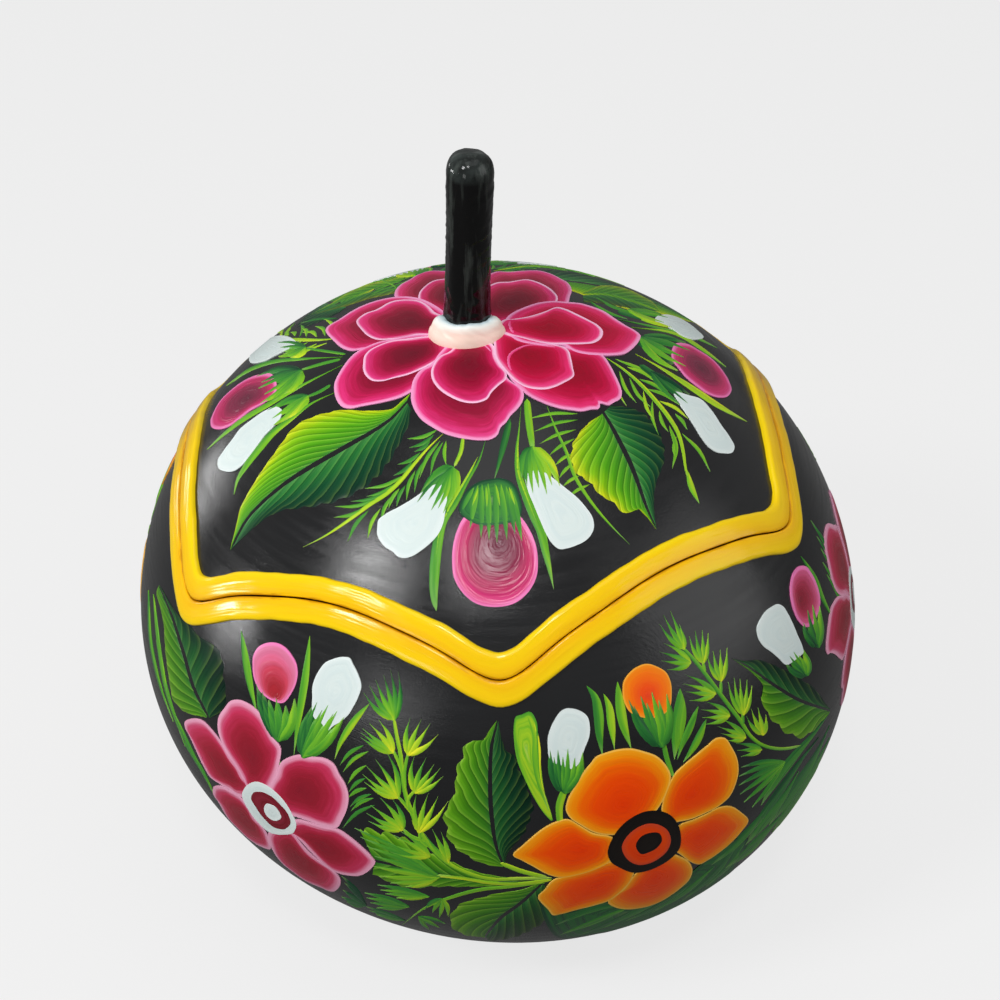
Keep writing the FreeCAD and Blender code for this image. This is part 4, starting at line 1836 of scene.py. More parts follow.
class LidPainting:
    """The flower round the stem, with its leaves, ferns and three bunches of buds."""

    def __init__(self, form: GourdForm, view: Viewpoint, stem: Stem) -> None:
        """Readies one painter for each piece; copies are turned about the collar.

        Args:
            form: the gourd.
            view: the photograph's viewpoint.
            stem: the stem that the flower grows round.
        """
        axis = unit(stem.seat - form.middle)
        self.leaves = Painter(form, view, axis, 0.05 * MM, 1)
        self.greens = Painter(form, view, axis, 0.075 * MM, 2, 0.0005 * MM)
        self.petals = Painter(form, view, axis, 0.115 * MM, 3)
        self.whites = Painter(form, view, axis, 0.19 * MM, 4)
        self.roses = Painter(form, view, axis, 0.19 * MM, 5)
        self.sepals = Painter(form, view, axis, 0.22 * MM, 6, lap=0.006 * MM)

    def paint(self) -> None:
        """Paints everything on the lid."""
        self.paint_leaves()
        self.paint_ferns()
        self.paint_front_buds()
        self.paint_left_buds()
        self.paint_right_buds()
        self.paint_back_petals()
        self.paint_front_petals()
        for painter, name, finish in (
            (self.leaves, "lid_leaves", LEAF),
            (self.greens, "lid_ferns_and_blades", GREEN),
            (self.petals, "lid_petals", CRIMSON),
            (self.whites, "lid_white_buds", WHITE),
            (self.roses, "lid_magenta_buds", ROSE_BUD),
            (self.sepals, "lid_sepals", GREEN),
        ):
            painter.piece(name, finish, "lid", "lid_rind")

    def paint_leaves(self) -> None:
        """Two large leaves in front, their copies behind, and two narrow ones beside the flower."""
        self.leaves.turns = (0.0, 180.0)
        vein = trace(
            406, 401, 391, 417, 371, 431, 350, 443, 329, 455, 300, 472, 285, 482, 270, 494, 258, 505,
            247, 517, 229, 550,
        )
        lit = trace(
            410, 392, 400, 401, 391, 408, 380, 409, 357, 409, 343, 408, 329, 410, 314, 414, 300, 420,
            289, 429, 281, 440, 272, 453, 262, 467, 253, 481, 245, 495, 239, 507, 235, 525, 229, 550,
        )
        dark = trace(
            411, 409, 409, 423, 403, 436, 394, 453, 386, 466, 374, 480, 360, 490, 347, 497, 329, 503,
            314, 506, 300, 508, 283, 510, 268, 516, 250, 530, 229, 550,
        )
        self.leaves.leaf_half(vein, dark, 1.0, 13, 0.4, 0.14)
        self.leaves.leaf_half(vein, lit, 0.0, 15, 0.46, 0.04)
        vein = trace(604, 412, 612, 425, 620, 440, 630, 460, 638, 480, 645, 500, 652, 518, 657, 529)
        lit = trace(
            600, 415, 590, 421, 581, 430, 575, 438, 571, 448, 570, 457, 572, 467, 578, 475, 582, 477,
            589, 482, 595, 489, 603, 497, 610, 500, 617, 506, 624, 513, 631, 512, 637, 508, 645, 514,
            657, 529,
        )
        dark = trace(
            612, 404, 630, 406, 648, 414, 658, 426, 664, 440, 666, 450, 665, 462, 660, 475, 656, 488,
            655, 505, 657, 529,
        )
        self.leaves.leaf_half(vein, dark, 1.0, 12, 0.42, 0.1)
        self.leaves.leaf_half(vein, lit, 0.05, 12, 0.42, 0.08)
        self.leaves.turns = (0.0,)
        vein = trace(400, 281, 378, 287, 350, 297, 309, 314)
        self.leaves.leaf_half(vein, trace(
            406, 274, 386, 279, 367, 283, 350, 290, 329, 303, 309, 314,
        ), 0.15, 9, 0.3, 0.06, 0.6)
        self.leaves.leaf_half(vein, trace(
            404, 289, 386, 294, 371, 297, 345, 305, 309, 314,
        ), 0.75, 8, 0.3, 0.06, 0.6)
        vein = trace(583, 293, 605, 293, 630, 299, 660, 310)
        self.leaves.leaf_half(vein, trace(
            583, 292, 601, 284, 614, 284, 630, 288, 644, 295, 654, 301, 660, 310,
        ), 0.3, 9, 0.3, 0.06, 0.6)
        self.leaves.leaf_half(vein, trace(
            584, 301, 601, 302, 623, 306, 644, 310, 660, 310,
        ), 0.9, 8, 0.3, 0.06, 0.6)

    def paint_ferns(self) -> None:
        """Feathery sprays between the leaves and the buds."""
        greens = self.greens
        greens.turns = (0.0, 180.0)
        stem = trace(443, 433, 429, 446, 414, 463, 400, 480, 386, 493, 369, 504, 349, 519, 320, 538, 302, 547)
        greens.sprig(trace(
            440, 440, 419, 478, 443, 441, 430, 475, 446, 440, 446, 465, 415, 470, 406, 500, 405, 485,
            396, 506, 399, 488, 388, 508, 380, 508, 367, 538, 368, 510, 347, 541, 392, 495, 380, 522,
            424, 460, 414, 492,
        ), 4.8, 0.5, bow=0.08)
        greens.sprig(trace(
            437, 429, 407, 438, 434, 434, 409, 447, 430, 440, 414, 451, 420, 452, 397, 464, 412, 461,
            393, 475, 403, 475, 364, 488, 395, 483, 366, 496, 377, 498, 334, 506, 365, 507, 333, 517,
            388, 490, 350, 501,
        ), 4.8, 0.42, bow=-0.08)
        greens.stroke(stem, 5.0, Track.SPINDLE, 0.74, 30)
        stem = trace(547, 405, 556, 428, 567, 452, 575, 475, 585, 492, 600, 512, 618, 532, 630, 544)
        greens.sprig(trace(
            578, 413, 528, 418, 578, 419, 534, 431, 576, 429, 540, 443, 575, 438, 549, 455, 572, 453,
            555, 465, 573, 463, 559, 478, 580, 475, 563, 486, 590, 484, 568, 497,
        ), 4.2, 0.5, bow=0.06)
        greens.stroke(stem, 4.0, Track.SPINDLE, 0.6, 26)
        stem = trace(
            607, 357, 625, 369, 640, 382, 655, 398, 668, 414, 679, 432, 684, 450, 687, 470, 692, 485,
            700, 503,
        )
        greens.sprig(trace(
            616, 358, 668, 390, 640, 378, 669, 395, 660, 400, 689, 418, 676, 413, 688, 429, 683, 433,
            711, 471, 628, 366, 655, 380, 648, 388, 680, 404,
        ), 4.4, 0.66, bow=-0.08)
        greens.sprig(trace(
            612, 366, 627, 405, 620, 370, 637, 402, 630, 377, 651, 406, 653, 400, 659, 434, 660, 410,
            669, 431, 644, 390, 655, 420, 677, 436, 676, 458,
        ), 4.4, 0.62, bow=0.08)
        greens.stroke(trace(670, 425, 677, 447, 673, 468), 5, Track.SPINDLE, 0.6)
        greens.stroke(stem, 4.6, Track.SPINDLE, 0.74, 30)
        greens.stroke(trace(688, 470, 692, 485, 700, 503), 6.5, Track.SPINDLE, 0.7)
        greens.turns = (0.0,)
        greens.sprig(trace(336, 317, 300, 322, 590, 300, 628, 318, 596, 296, 636, 312), 4.0, 0.3, bow=0.05)

    def paint_front_buds(self) -> None:
        """The bunch in front: a magenta bud between two white ones, with long blades."""
        for painter in (self.greens, self.whites, self.roses, self.sepals):
            painter.turns = (0.0, 180.0)
        greens, sepals = self.greens, self.sepals
        greens.stroke(trace(463, 436, 461, 450, 454, 466), 4.5, Track.STALK, 0.7)
        greens.stroke(trace(510, 418, 503, 447, 494, 480), 7.5, Track.FINGER, 0.22)
        greens.stroke(trace(
            486, 438, 478, 462, 467, 480, 455, 502, 443, 520, 437, 545, 434, 575, 434, 600, 436, 611,
        ), 11.5, Track.REED, 0.42, 34)
        greens.stroke(trace(478, 456, 464, 482, 450, 506, 440, 528, 436, 556), 4, Track.SPINDLE, 0.72, 24)
        greens.stroke(trace(
            521, 406, 519, 430, 517, 450, 519, 475, 526, 495, 534, 515, 541, 530, 545, 548, 550, 570,
            554, 589,
        ), 10.5, Track.BLADE, 0.5, 34)
        greens.stroke(trace(518, 440, 518, 470, 528, 500, 538, 525), 4, Track.SPINDLE, 0.74, 24)
        greens.stroke(trace(527, 398, 529, 420, 533, 448), 8, Track.STALK, 0.62)
        Bud(trace(
            436, 484, 425, 490, 410, 500, 398, 507, 385, 514, 378, 520, 377, 527, 377, 535, 380, 541,
            385, 547, 393, 552, 397, 556, 404, 558, 412, 556, 420, 551, 430, 543, 438, 534, 443, 523,
            445, 512, 447, 500, 445, 490, 440, 484,
        ), (414, 522), (453, 466), trace(
            417, 502, 420, 493, 424, 488, 428, 500, 431, 510, 438, 508, 443, 513, 449, 504,
        ), 15, 0.6).paint(self.whites, sepals)
        Bud(trace(
            526, 475, 528, 490, 534, 505, 541, 522, 547, 535, 552, 543, 560, 549, 568, 548, 577, 545,
            585, 541, 591, 535, 594, 528, 593, 518, 586, 507, 577, 497, 566, 488, 556, 480, 548, 474,
            535, 470,
        ), (564, 517), (532, 446), trace(
            522, 478, 527, 486, 533, 493, 539, 488, 547, 494, 552, 485, 560, 486,
        ), 15, 0.66).paint(self.whites, sepals)
        self.roses.daub(trace(
            452, 560, 453, 545, 457, 530, 463, 518, 480, 505, 505, 505, 522, 518, 530, 530, 536, 545,
            538, 562, 537, 575, 530, 590, 515, 603, 495, 607, 475, 603, 462, 592, 454, 578,
        ), (500, 538))
        sepals.daub(trace(
            459, 511, 460, 503, 463, 496, 467, 490, 473, 485, 480, 481, 490, 479, 501, 478, 510, 481,
            516, 487, 520, 497, 522, 510, 519, 519, 508, 523, 495, 525, 480, 525, 468, 520,
        ), (490, 500), 0.1)
        for base, tip, tone in (
            ((474, 487), (460, 513), 0.24), ((478, 485), (470, 528), 0.34), ((482, 484), (481, 538), 0.28),
            ((488, 483), (489, 540), 0.36), ((495, 483), (497, 543), 0.3), ((501, 484), (507, 540), 0.35),
            ((506, 486), (515, 534), 0.27), ((511, 488), (522, 541), 0.34),
        ):
            sepals.stroke(trace(
                *base, (base[0] + tip[0]) / 2, (base[1] + tip[1]) / 2 - 2, *tip,
            ), 8.6, Track.SPINDLE, tone, glow=0.16)
        for line in (
            trace(486, 486, 487, 507), trace(496, 485, 500, 506), trace(509, 487, 515, 505),
            trace(478, 488, 472, 506),
        ):
            sepals.stroke(line, 3.4, Track.SPINDLE, 0.66)

    def paint_left_buds(self) -> None:
        """The bunch on the left, seen from the side."""
        for painter in (self.greens, self.whites, self.roses, self.sepals):
            painter.turns = (0.0,)
        greens = self.greens
        greens.stroke(trace(345, 353, 325, 350, 304, 347), 3, Track.STALK, 0.4)
        greens.stroke(trace(342, 356, 300, 358, 270, 361, 250, 368, 225, 385), 4.5, Track.BLADE, 0.42, 26)
        greens.stroke(trace(340, 358, 320, 363, 300, 369), 3.2, Track.STALK, 0.34)
        greens.stroke(trace(
            342, 364, 300, 385, 270, 402, 240, 420, 222, 434, 206, 449,
        ), 5.5, Track.BLADE, 0.52, 26)
        greens.stroke(trace(330, 384, 318, 391, 306, 396), 3.2, Track.STALK, 0.4)
        greens.stroke(trace(
            336, 391, 310, 403, 290, 418, 272, 432, 258, 448, 245, 465, 236, 480, 233, 494,
        ), 7.5, Track.BLADE, 0.5, 28)
        Bud(trace(
            249, 361, 249, 356, 253, 351, 260, 343, 270, 337, 282, 335, 292, 338, 296, 342, 288, 348,
            280, 352, 272, 356, 262, 361,
        ), (272, 348), (306, 347), trace(
            277, 342, 280, 347, 285, 352, 278, 356, 290, 357,
        ), 8, 0.62).paint(self.whites, self.sepals)
        Bud(trace(
            272, 374, 255, 375, 242, 381, 230, 390, 220, 400, 213, 412, 210, 421, 211, 427, 217, 429,
            226, 427, 238, 419, 250, 410, 264, 402, 276, 390,
        ), (247, 398), (302, 370), trace(
            256, 376, 261, 382, 258, 388, 264, 394, 260, 403, 272, 401, 284, 394,
        ), 12, 0.56).paint(self.roses, self.sepals)
        Bud(trace(
            275, 406, 265, 410, 250, 420, 240, 428, 231, 440, 222, 452, 217, 461, 218, 468, 224, 471,
            232, 471, 240, 466, 247, 458, 256, 446, 264, 435, 274, 425, 280, 417, 281, 409,
        ), (248, 440), (308, 395), trace(
            267, 410, 272, 418, 273, 425, 284, 420,
        ), 11, 0.7).paint(self.whites, self.sepals)

    def paint_right_buds(self) -> None:
        """The bunch on the right, seen from the side."""
        greens = self.greens
        greens.stroke(trace(618, 310, 640, 316, 664, 321), 5, Track.STALK, 0.2)
        greens.stroke(trace(618, 318, 660, 327, 700, 338, 718, 347), 3.5, Track.BLADE, 0.5, 24)
        greens.stroke(trace(632, 326, 680, 334, 706, 350, 727, 366), 3.8, Track.BLADE, 0.7, 24)
        greens.stroke(trace(636, 338, 655, 350, 676, 363), 8, Track.STALK, 0.12)
        greens.stroke(trace(636, 353, 660, 366, 690, 385, 720, 405, 748, 421), 6.5, Track.BLADE, 0.78, 28)
        greens.stroke(trace(640, 364, 660, 378, 684, 394), 8, Track.STALK, 0.16)
        Bud(trace(
            656, 317, 664, 314, 676, 316, 688, 322, 697, 329, 704, 337, 695, 339, 684, 336, 672, 328,
            660, 322, 655, 320,
        ), (682, 326), (628, 309), trace(
            661, 313, 668, 317, 664, 322, 672, 327,
        ), 7, 0.74).paint(self.whites, self.sepals)
        Bud(trace(
            676, 343, 686, 343, 700, 350, 712, 358, 723, 370, 730, 382, 732, 390, 728, 396, 720, 397,
            710, 394, 698, 386, 686, 376, 678, 366, 673, 360,
        ), (702, 368), (640, 337), trace(
            686, 342, 690, 350, 684, 357, 686, 366, 678, 370,
        ), 10, 0.62).paint(self.roses, self.sepals)
        Bud(trace(
            674, 392, 690, 395, 700, 398, 712, 410, 722, 425, 731, 438, 735, 447, 733, 452, 725, 453,
            718, 452, 710, 447, 702, 437, 694, 424, 686, 412, 678, 400,
        ), (708, 424), (651, 371), trace(
            690, 394, 688, 403, 680, 404,
        ), 8, 0.3).paint(self.whites, self.sepals)

    def paint_back_petals(self) -> None:
        """The petals behind and beside the stem."""
        petals = self.petals
        far = 0.012 * MM
        petals.daub(trace(
            446, 300, 466, 290, 486, 298, 494, 312, 486, 328, 466, 334, 446, 328, 438, 314,
        ), (466, 312))
        petals.daub(trace(
            394, 294, 395, 290, 400, 284, 409, 279, 419, 273, 430, 270, 443, 270, 470, 272, 490, 285,
            485, 310, 460, 318, 435, 308, 415, 300,
        ), (440, 292), 2.0, far)
        petals.daub(trace(
            418, 297, 419, 292, 424, 286, 433, 280, 443, 278, 465, 278, 480, 290, 478, 310, 458, 318,
            437, 310,
        ), (450, 296), 0, far)
        petals.daub(trace(
            496, 271, 509, 271, 523, 270, 540, 270, 551, 273, 561, 278, 569, 283, 572, 290, 570, 296,
            569, 301, 545, 312, 510, 322, 480, 320, 472, 300, 480, 280,
        ), (522, 293), 2.0, far)
        petals.daub(trace(
            496, 282, 509, 281, 530, 279, 537, 281, 546, 285, 554, 291, 558, 297, 556, 303, 550, 309,
            537, 314, 523, 317, 511, 320, 490, 322, 475, 312, 478, 295,
        ), (512, 301), 0, far)
        petals.daub(trace(
            325, 330, 340, 318, 360, 306, 380, 299, 399, 296, 409, 296, 432, 303, 448, 318, 440, 332,
            415, 342, 385, 348, 360, 349, 350, 350, 341, 347, 333, 340,
        ), (392, 324), 2.0, far)
        petals.daub(trace(
            356, 321, 363, 314, 376, 309, 391, 301, 406, 299, 421, 301, 429, 306, 434, 311, 450, 320,
            445, 332, 427, 334, 419, 334, 404, 337, 389, 339, 376, 339, 367, 335, 361, 329,
        ), (412, 322), 0, far)

    def paint_front_petals(self) -> None:
        """The petals in front of the stem, each pair over the one before."""
        petals = self.petals
        far = 0.012 * MM
        petals.daub(trace(
            427, 334, 409, 335, 391, 339, 380, 341, 367, 346, 357, 351, 350, 357, 343, 366, 338, 374,
            334, 384, 334, 391, 337, 401, 341, 406, 349, 408, 360, 406, 371, 404, 386, 401, 400, 397,
            410, 392, 432, 378, 448, 355, 445, 338,
        ), (404, 362), 2.0, far)
        petals.daub(trace(
            389, 341, 376, 346, 369, 350, 364, 356, 363, 363, 363, 370, 366, 376, 371, 380, 380, 381,
            393, 378, 409, 374, 421, 369, 431, 364, 447, 350, 445, 337, 427, 336, 408, 338,
        ), (414, 353), 0, far)
        petals.daub(trace(
            431, 364, 419, 371, 413, 380, 411, 390, 411, 400, 414, 409, 421, 419, 431, 426, 444, 433,
            457, 437, 469, 439, 481, 440, 491, 439, 498, 434, 500, 428, 507, 421, 510, 416, 518, 408,
            523, 400, 524, 394, 507, 377, 497, 355, 480, 340, 455, 340, 440, 352,
        ), (470, 376), 2.0, far)
        petals.daub(trace(
            450, 351, 440, 356, 434, 363, 431, 371, 432, 379, 439, 389, 449, 396, 460, 401, 473, 403,
            483, 401, 487, 399, 491, 393, 500, 384, 506, 379, 507, 375, 501, 366, 496, 355, 494, 346,
            480, 338, 460, 340,
        ), (468, 362), 0.15, far)
        petals.daub(trace(
            509, 376, 520, 388, 527, 394, 540, 401, 550, 405, 560, 408, 573, 410, 582, 411, 592, 409,
            600, 408, 600, 403, 605, 404, 609, 405, 614, 402, 621, 398, 622, 392, 620, 385, 615, 374,
            609, 363, 604, 356, 585, 350, 550, 345, 520, 345, 505, 355,
        ), (572, 368), 2.7, far)
        petals.daub(trace(
            494, 345, 496, 358, 502, 367, 509, 375, 517, 382, 526, 387, 536, 389, 547, 389, 557, 386,
            565, 382, 572, 378, 574, 376, 573, 368, 571, 358, 569, 351, 564, 347, 557, 345, 546, 344,
            530, 341, 516, 337, 507, 334, 495, 332,
        ), (528, 354), 0.75, far)
        petals.daub(trace(
            569, 302, 580, 303, 591, 306, 604, 311, 616, 319, 627, 326, 636, 331, 641, 336, 639, 341,
            634, 347, 626, 353, 613, 355, 599, 355, 586, 354, 574, 351, 566, 346, 540, 345, 510, 335,
            505, 322, 530, 305, 550, 301,
        ), (572, 327), 2.7, far)
        petals.daub(trace(
            557, 307, 566, 309, 577, 314, 589, 320, 599, 326, 603, 331, 602, 337, 596, 342, 583, 344,
            566, 344, 551, 344, 534, 341, 519, 337, 507, 334, 497, 328, 503, 320, 513, 319, 530, 316,
            546, 311,
        ), (546, 328), 0.75, far)


class BowlPainting:
    """Two kinds of flower with sprigs, leaves and buds between them, three times round the bowl."""

    def __init__(self, form: GourdForm, view: Viewpoint) -> None:
        """Readies one painter for each piece; copies are turned about the upright.

        Args:
            form: the gourd.
            view: the photograph's viewpoint.
        """
        axis = np.array([0.0, 0.0, 1.0])
        self.leaves = Painter(form, view, axis, 0.05 * MM, 11)
        self.greens = Painter(form, view, axis, 0.075 * MM, 12, 0.0004 * MM)
        self.pinks = Painter(form, view, axis, 0.135 * MM, 13)
        self.oranges = Painter(form, view, axis, 0.135 * MM, 14)
        self.whites = Painter(form, view, axis, 0.235 * MM, 15)
        self.roses = Painter(form, view, axis, 0.19 * MM, 16)
        self.flames = Painter(form, view, axis, 0.19 * MM, 17)
        self.sepals = Painter(form, view, axis, 0.262 * MM, 18, lap=0.006 * MM)
        self.inks = Painter(form, view, axis, 0.25 * MM, 19)
        self.embers = Painter(form, view, axis, 0.275 * MM, 20)
        self.discs = Painter(form, view, axis, 0.265 * MM, 21)
        self.dots = Painter(form, view, axis, 0.295 * MM, 22)

    def turn(self, *degrees: float, azimuth: float = 0.0, rises: dict[float, float] | None = None) -> None:
        """Sets where all painters repeat their strokes.

        Args:
            degrees: the turns, 0 being the strokes themselves.
            azimuth: azimuth of the strokes' middle.
            rises: how much higher the repeat at each turn lies, in degrees.
        """
        for painter in vars(self).values():
            painter.turns, painter.azimuth, painter.rises = degrees, azimuth, rises or {}

    def paint(self) -> None:
        """Paints everything on the bowl."""
        self.turn(0.0, 117.0, -125.0, azimuth=-35.0, rises={117.0: 9.0, -125.0: 1.5})
        self.paint_pink_flower()
        self.turn(0.0, -125.0, azimuth=-35.0, rises={-125.0: 1.5})
        self.paint_pink_buds()
        self.turn(0.0, 120.0, -122.0)
        self.paint_sprig()
        self.paint_leaves()
        self.paint_orange_flower()
        self.paint_orange_buds()
        self.turn(0.0, 120.0)
        self.paint_right_sprig()
        self.turn(0.0)
        self.paint_left_edge()
        for painter, name, finish in (
            (self.leaves, "bowl_leaves", LOW_LEAF),
            (self.greens, "bowl_sprigs_and_blades", GREEN),
            (self.pinks, "bowl_pink_petals", PINK),
            (self.oranges, "bowl_orange_petals", ORANGE),
            (self.whites, "bowl_white_buds", WHITE),
            (self.roses, "bowl_pink_buds", ROSE_BUD),
            (self.flames, "bowl_orange_buds", FLAME_BUD),
            (self.sepals, "bowl_sepals", GREEN),
            (self.inks, "bowl_black_rings", INK),
            (self.embers, "bowl_orange_rings", FLAME),
            (self.discs, "bowl_crimson_discs", DISC),
            (self.dots, "bowl_white_dots", WHITE),
        ):
            painter.piece(name, finish, "bowl", "bowl_rind")

    def paint_pink_flower(self) -> None:
        """Six pink petals round a white ring."""
        pinks = self.pinks
        far = 0.01 * MM
        pinks.daub(trace(
            213, 787, 218, 786, 228, 790, 238, 796, 246, 805, 255, 820, 265, 832, 269, 842, 270, 850,
            262, 848, 250, 841, 238, 830, 226, 817, 218, 803, 212, 793,
        ), (246, 820), 2.0, far)
        pinks.daub(trace(
            184, 727, 184, 722, 190, 719, 200, 720, 209, 728, 218, 739, 228, 755, 238, 768, 244, 780,
            255, 795, 239, 797, 230, 791, 220, 785, 210, 778, 202, 765, 195, 750, 188, 735,
        ), (228, 774), 2.0, far)
        pinks.daub(trace(
            217, 728, 218, 717, 224, 708, 230, 701, 237, 700, 248, 704, 258, 712, 266, 725, 273, 738,
            280, 748, 279, 762, 276, 775, 270, 787, 262, 798, 250, 796, 244, 782, 236, 768, 226, 752,
            220, 740,
        ), (252, 758), 2.0, far)
        pinks.daub(trace(
            268, 833, 271, 848, 280, 862, 293, 873, 306, 882, 320, 888, 334, 892, 340, 885, 340, 880,
            336, 874, 325, 866, 312, 856, 300, 843, 294, 835, 280, 825,
        ), (296, 856), 2.0, far)
        pinks.daub(trace(
            296, 820, 310, 823, 325, 827, 338, 830, 350, 838, 362, 848, 372, 858, 375, 862, 370, 870,
            360, 876, 348, 876, 336, 873, 324, 865, 310, 852, 297, 838, 282, 825,
        ), (320, 846), 2.0, far)
        pinks.daub(trace(
            270, 786, 276, 775, 281, 762, 290, 757, 300, 755, 312, 757, 325, 759, 333, 764, 339, 775,
            345, 785, 348, 795, 347, 808, 342, 820, 337, 828, 325, 827, 310, 822, 295, 817, 280, 812,
            268, 800,
        ), (300, 790), 2.0, far)
        self.whites.daub(trace(
            242, 793, 246, 786, 255, 782, 265, 785, 275, 792, 285, 803, 292, 815, 296, 826, 293, 833,
            284, 835, 270, 833, 258, 823, 248, 810,
        ), (268, 808))
        self.discs.daub(trace(
            251, 797, 253, 793, 260, 792, 270, 796, 280, 805, 288, 815, 290, 824, 285, 829, 275, 828,
            265, 820, 256, 808,
        ), (271, 811))
        self.dots.daub(trace(
            264, 808, 266, 804, 272, 805, 279, 812, 281, 818, 276, 821, 270, 819,
        ), (272, 812))

    def paint_pink_buds(self) -> None:
        """A pink and a white bud over the pink flower, with their blades and a small fern."""
        greens = self.greens
        greens.stroke(trace(240, 631, 243, 650, 247, 675, 251, 695, 256, 714), 8, Track.SPINDLE, 0.42, 24)
        greens.stroke(trace(
            309, 636, 307, 655, 304, 680, 300, 705, 296, 730, 293, 756,
        ), 8.5, Track.SPINDLE, 0.52, 26)
        greens.stroke(trace(369, 704, 358, 716, 347, 731, 339, 745, 334, 760), 8, Track.SPINDLE, 0.62, 22)
        greens.stroke(trace(268, 735, 276, 760, 282, 775), 5, Track.STALK, 0.4)
        greens.stroke(trace(304, 752, 296, 762), 5, Track.STALK, 0.5)
        greens.sprig(trace(
            363, 746, 339, 766, 368, 752, 342, 773, 366, 766, 347, 785, 365, 779, 348, 793, 366, 789,
            347, 799, 371, 795, 349, 808, 373, 799, 350, 812, 374, 806, 342, 829,
        ), 5, 0.4, bow=0.1)
        Bud(trace(
            252, 665, 253, 655, 258, 647, 266, 643, 276, 643, 284, 647, 291, 655, 296, 665, 297, 675,
            295, 685, 290, 695, 283, 703, 270, 700, 260, 692, 254, 680,
        ), (275, 697), (278, 742), trace(
            256, 684, 262, 692, 268, 700, 276, 699, 285, 706, 294, 699,
        ), 17, 0.5, 1.0).paint(self.roses, self.sepals)
        Bud(trace(
            312, 695, 312, 688, 314, 680, 319, 670, 326, 662, 333, 659, 342, 657, 349, 658, 353, 665,
            358, 675, 361, 686, 358, 697, 353, 707, 348, 715, 340, 722, 333, 726, 327, 731, 320, 722,
            316, 720,
        ), (336, 690), (302, 758), trace(
            312, 706, 317, 702, 322, 710, 328, 705, 333, 714, 337, 711, 344, 717,
        ), 17, 0.56).paint(self.whites, self.sepals)

    def paint_sprig(self) -> None:
        """The spray of tufts in the middle."""
        greens = self.greens
        stem = trace(
            393, 716, 396, 735, 400, 755, 402, 775, 405, 795, 412, 815, 420, 833, 432, 850, 446, 863,
            465, 873, 490, 880, 520, 880, 552, 879,
        )
        greens.stroke(stem, 5, Track.STALK, 0.66, 40)
        for stalk in (
            trace(402, 775, 399, 765, 392, 750), trace(405, 790, 404, 775, 408, 752),
            trace(412, 815, 405, 806, 397, 797), trace(408, 812, 408, 800, 416, 790),
            trace(425, 842, 412, 838, 402, 830), trace(428, 848, 420, 840, 420, 830),
        ):
            greens.stroke(stalk, 4, Track.STALK, 0.6)
        tufts = (
            ((394, 721), trace(398, 672, 390, 670, 383, 675, 375, 680, 369, 686, 363, 693), 0.35),
            ((393, 754), trace(360, 738, 360, 733, 362, 729, 369, 724, 378, 720), 0.58),
            ((407, 756), trace(410, 718, 421, 720, 430, 724, 438, 735), 0.62),
            ((398, 799), trace(386, 752, 375, 760, 366, 767, 362, 775, 364, 783), 0.56),
            ((414, 794), trace(414, 756, 426, 758, 434, 765, 440, 769, 443, 777), 0.58),
            ((403, 831), trace(392, 800, 380, 799, 370, 806, 366, 814, 368, 822), 0.52),
            ((418, 834), trace(416, 794, 428, 794, 438, 797, 448, 802), 0.58),
            ((430, 858), trace(400, 832, 393, 836, 388, 844, 390, 853), 0.5),
            ((448, 864), trace(424, 834, 432, 830, 441, 833), 0.56),
        )
        for base, tips, tone in tufts:
            greens.fan(base, tips, 7.6, tone - 0.05, 0.1, 0.15, Track.SPIKE, 0.34)

    def paint_leaves(self) -> None:
        """The large leaf, the fan-shaped one and the low one."""
        leaves, greens = self.leaves, self.greens
        vein = trace(498, 720, 492, 745, 490, 780, 492, 820, 497, 850, 503, 866)[::-1]
        lit = trace(
            496, 722, 488, 733, 484, 740, 470, 742, 463, 748, 462, 758, 456, 768, 455, 782, 453, 795,
            448, 805, 443, 815, 445, 828, 450, 845, 460, 853, 475, 862, 490, 867, 503, 868,
        )[::-1]
        dark = trace(
            499, 726, 503, 743, 507, 752, 516, 757, 519, 770, 525, 778, 530, 795, 534, 808, 530, 822,
            524, 835, 516, 845, 508, 855, 505, 866,
        )[::-1]
        leaves.leaf_half(vein, dark, 1.0, 13, 0.36, 0.12)
        leaves.leaf_half(vein, lit, 0.08, 11, 0.36, 0.1)
        greens.stroke(trace(500, 864, 520, 872, 548, 879), 5, Track.STALK, 0.7)
        vein = trace(520, 882, 490, 882, 450, 878, 410, 870, 374, 862)
        leaves.leaf_half(vein, trace(
            516, 880, 480, 874, 440, 858, 400, 838, 358, 828,
        ), 0.0, 9, 0.2, 0.25, 0.8)
        leaves.leaf_half(vein, trace(516, 885, 480, 888, 440, 888, 404, 888, 372, 876), 0.1, 8, 0.2, 0.2, 0.8)
        greens.fan((440, 878), trace(
            354, 829, 360, 838, 366, 847, 374, 857, 371, 867, 378, 877, 390, 884, 405, 888,
        ), 9, 0.52, 0.06, 0.25, Track.SPINDLE)
        greens.stroke(trace(552, 881, 520, 885, 490, 884, 460, 879, 428, 876), 4, Track.STALK, 0.8, 30)
        greens.stroke(trace(
            545, 884, 510, 888, 480, 891, 450, 899, 425, 909, 402, 926,
        ), 4, Track.SPINDLE, 0.62, 30)
        greens.fan((442, 900), trace(424, 911, 432, 914, 439, 919, 448, 918), 6, 0.5, 0.1, 0.2, Track.SPINDLE)
        for base, tips, width, tone in (
            ((366, 907), trace(341, 877, 344, 884, 342, 891, 341, 898, 346, 903), 6, 0.12),
            ((409, 908), trace(364, 894, 366, 899, 370, 904, 376, 909), 6, 0.4),
            ((429, 898), trace(377, 886, 380, 891, 385, 895, 396, 899), 6, 0.46),
            ((405, 922), trace(366, 908, 369, 912, 376, 916), 5, 0.3),
            ((418, 918), trace(445, 925, 439, 929, 429, 931), 5, 0.4),
        ):
            greens.fan(base, tips, width, tone, 0.08, 0.2, Track.SPINDLE)
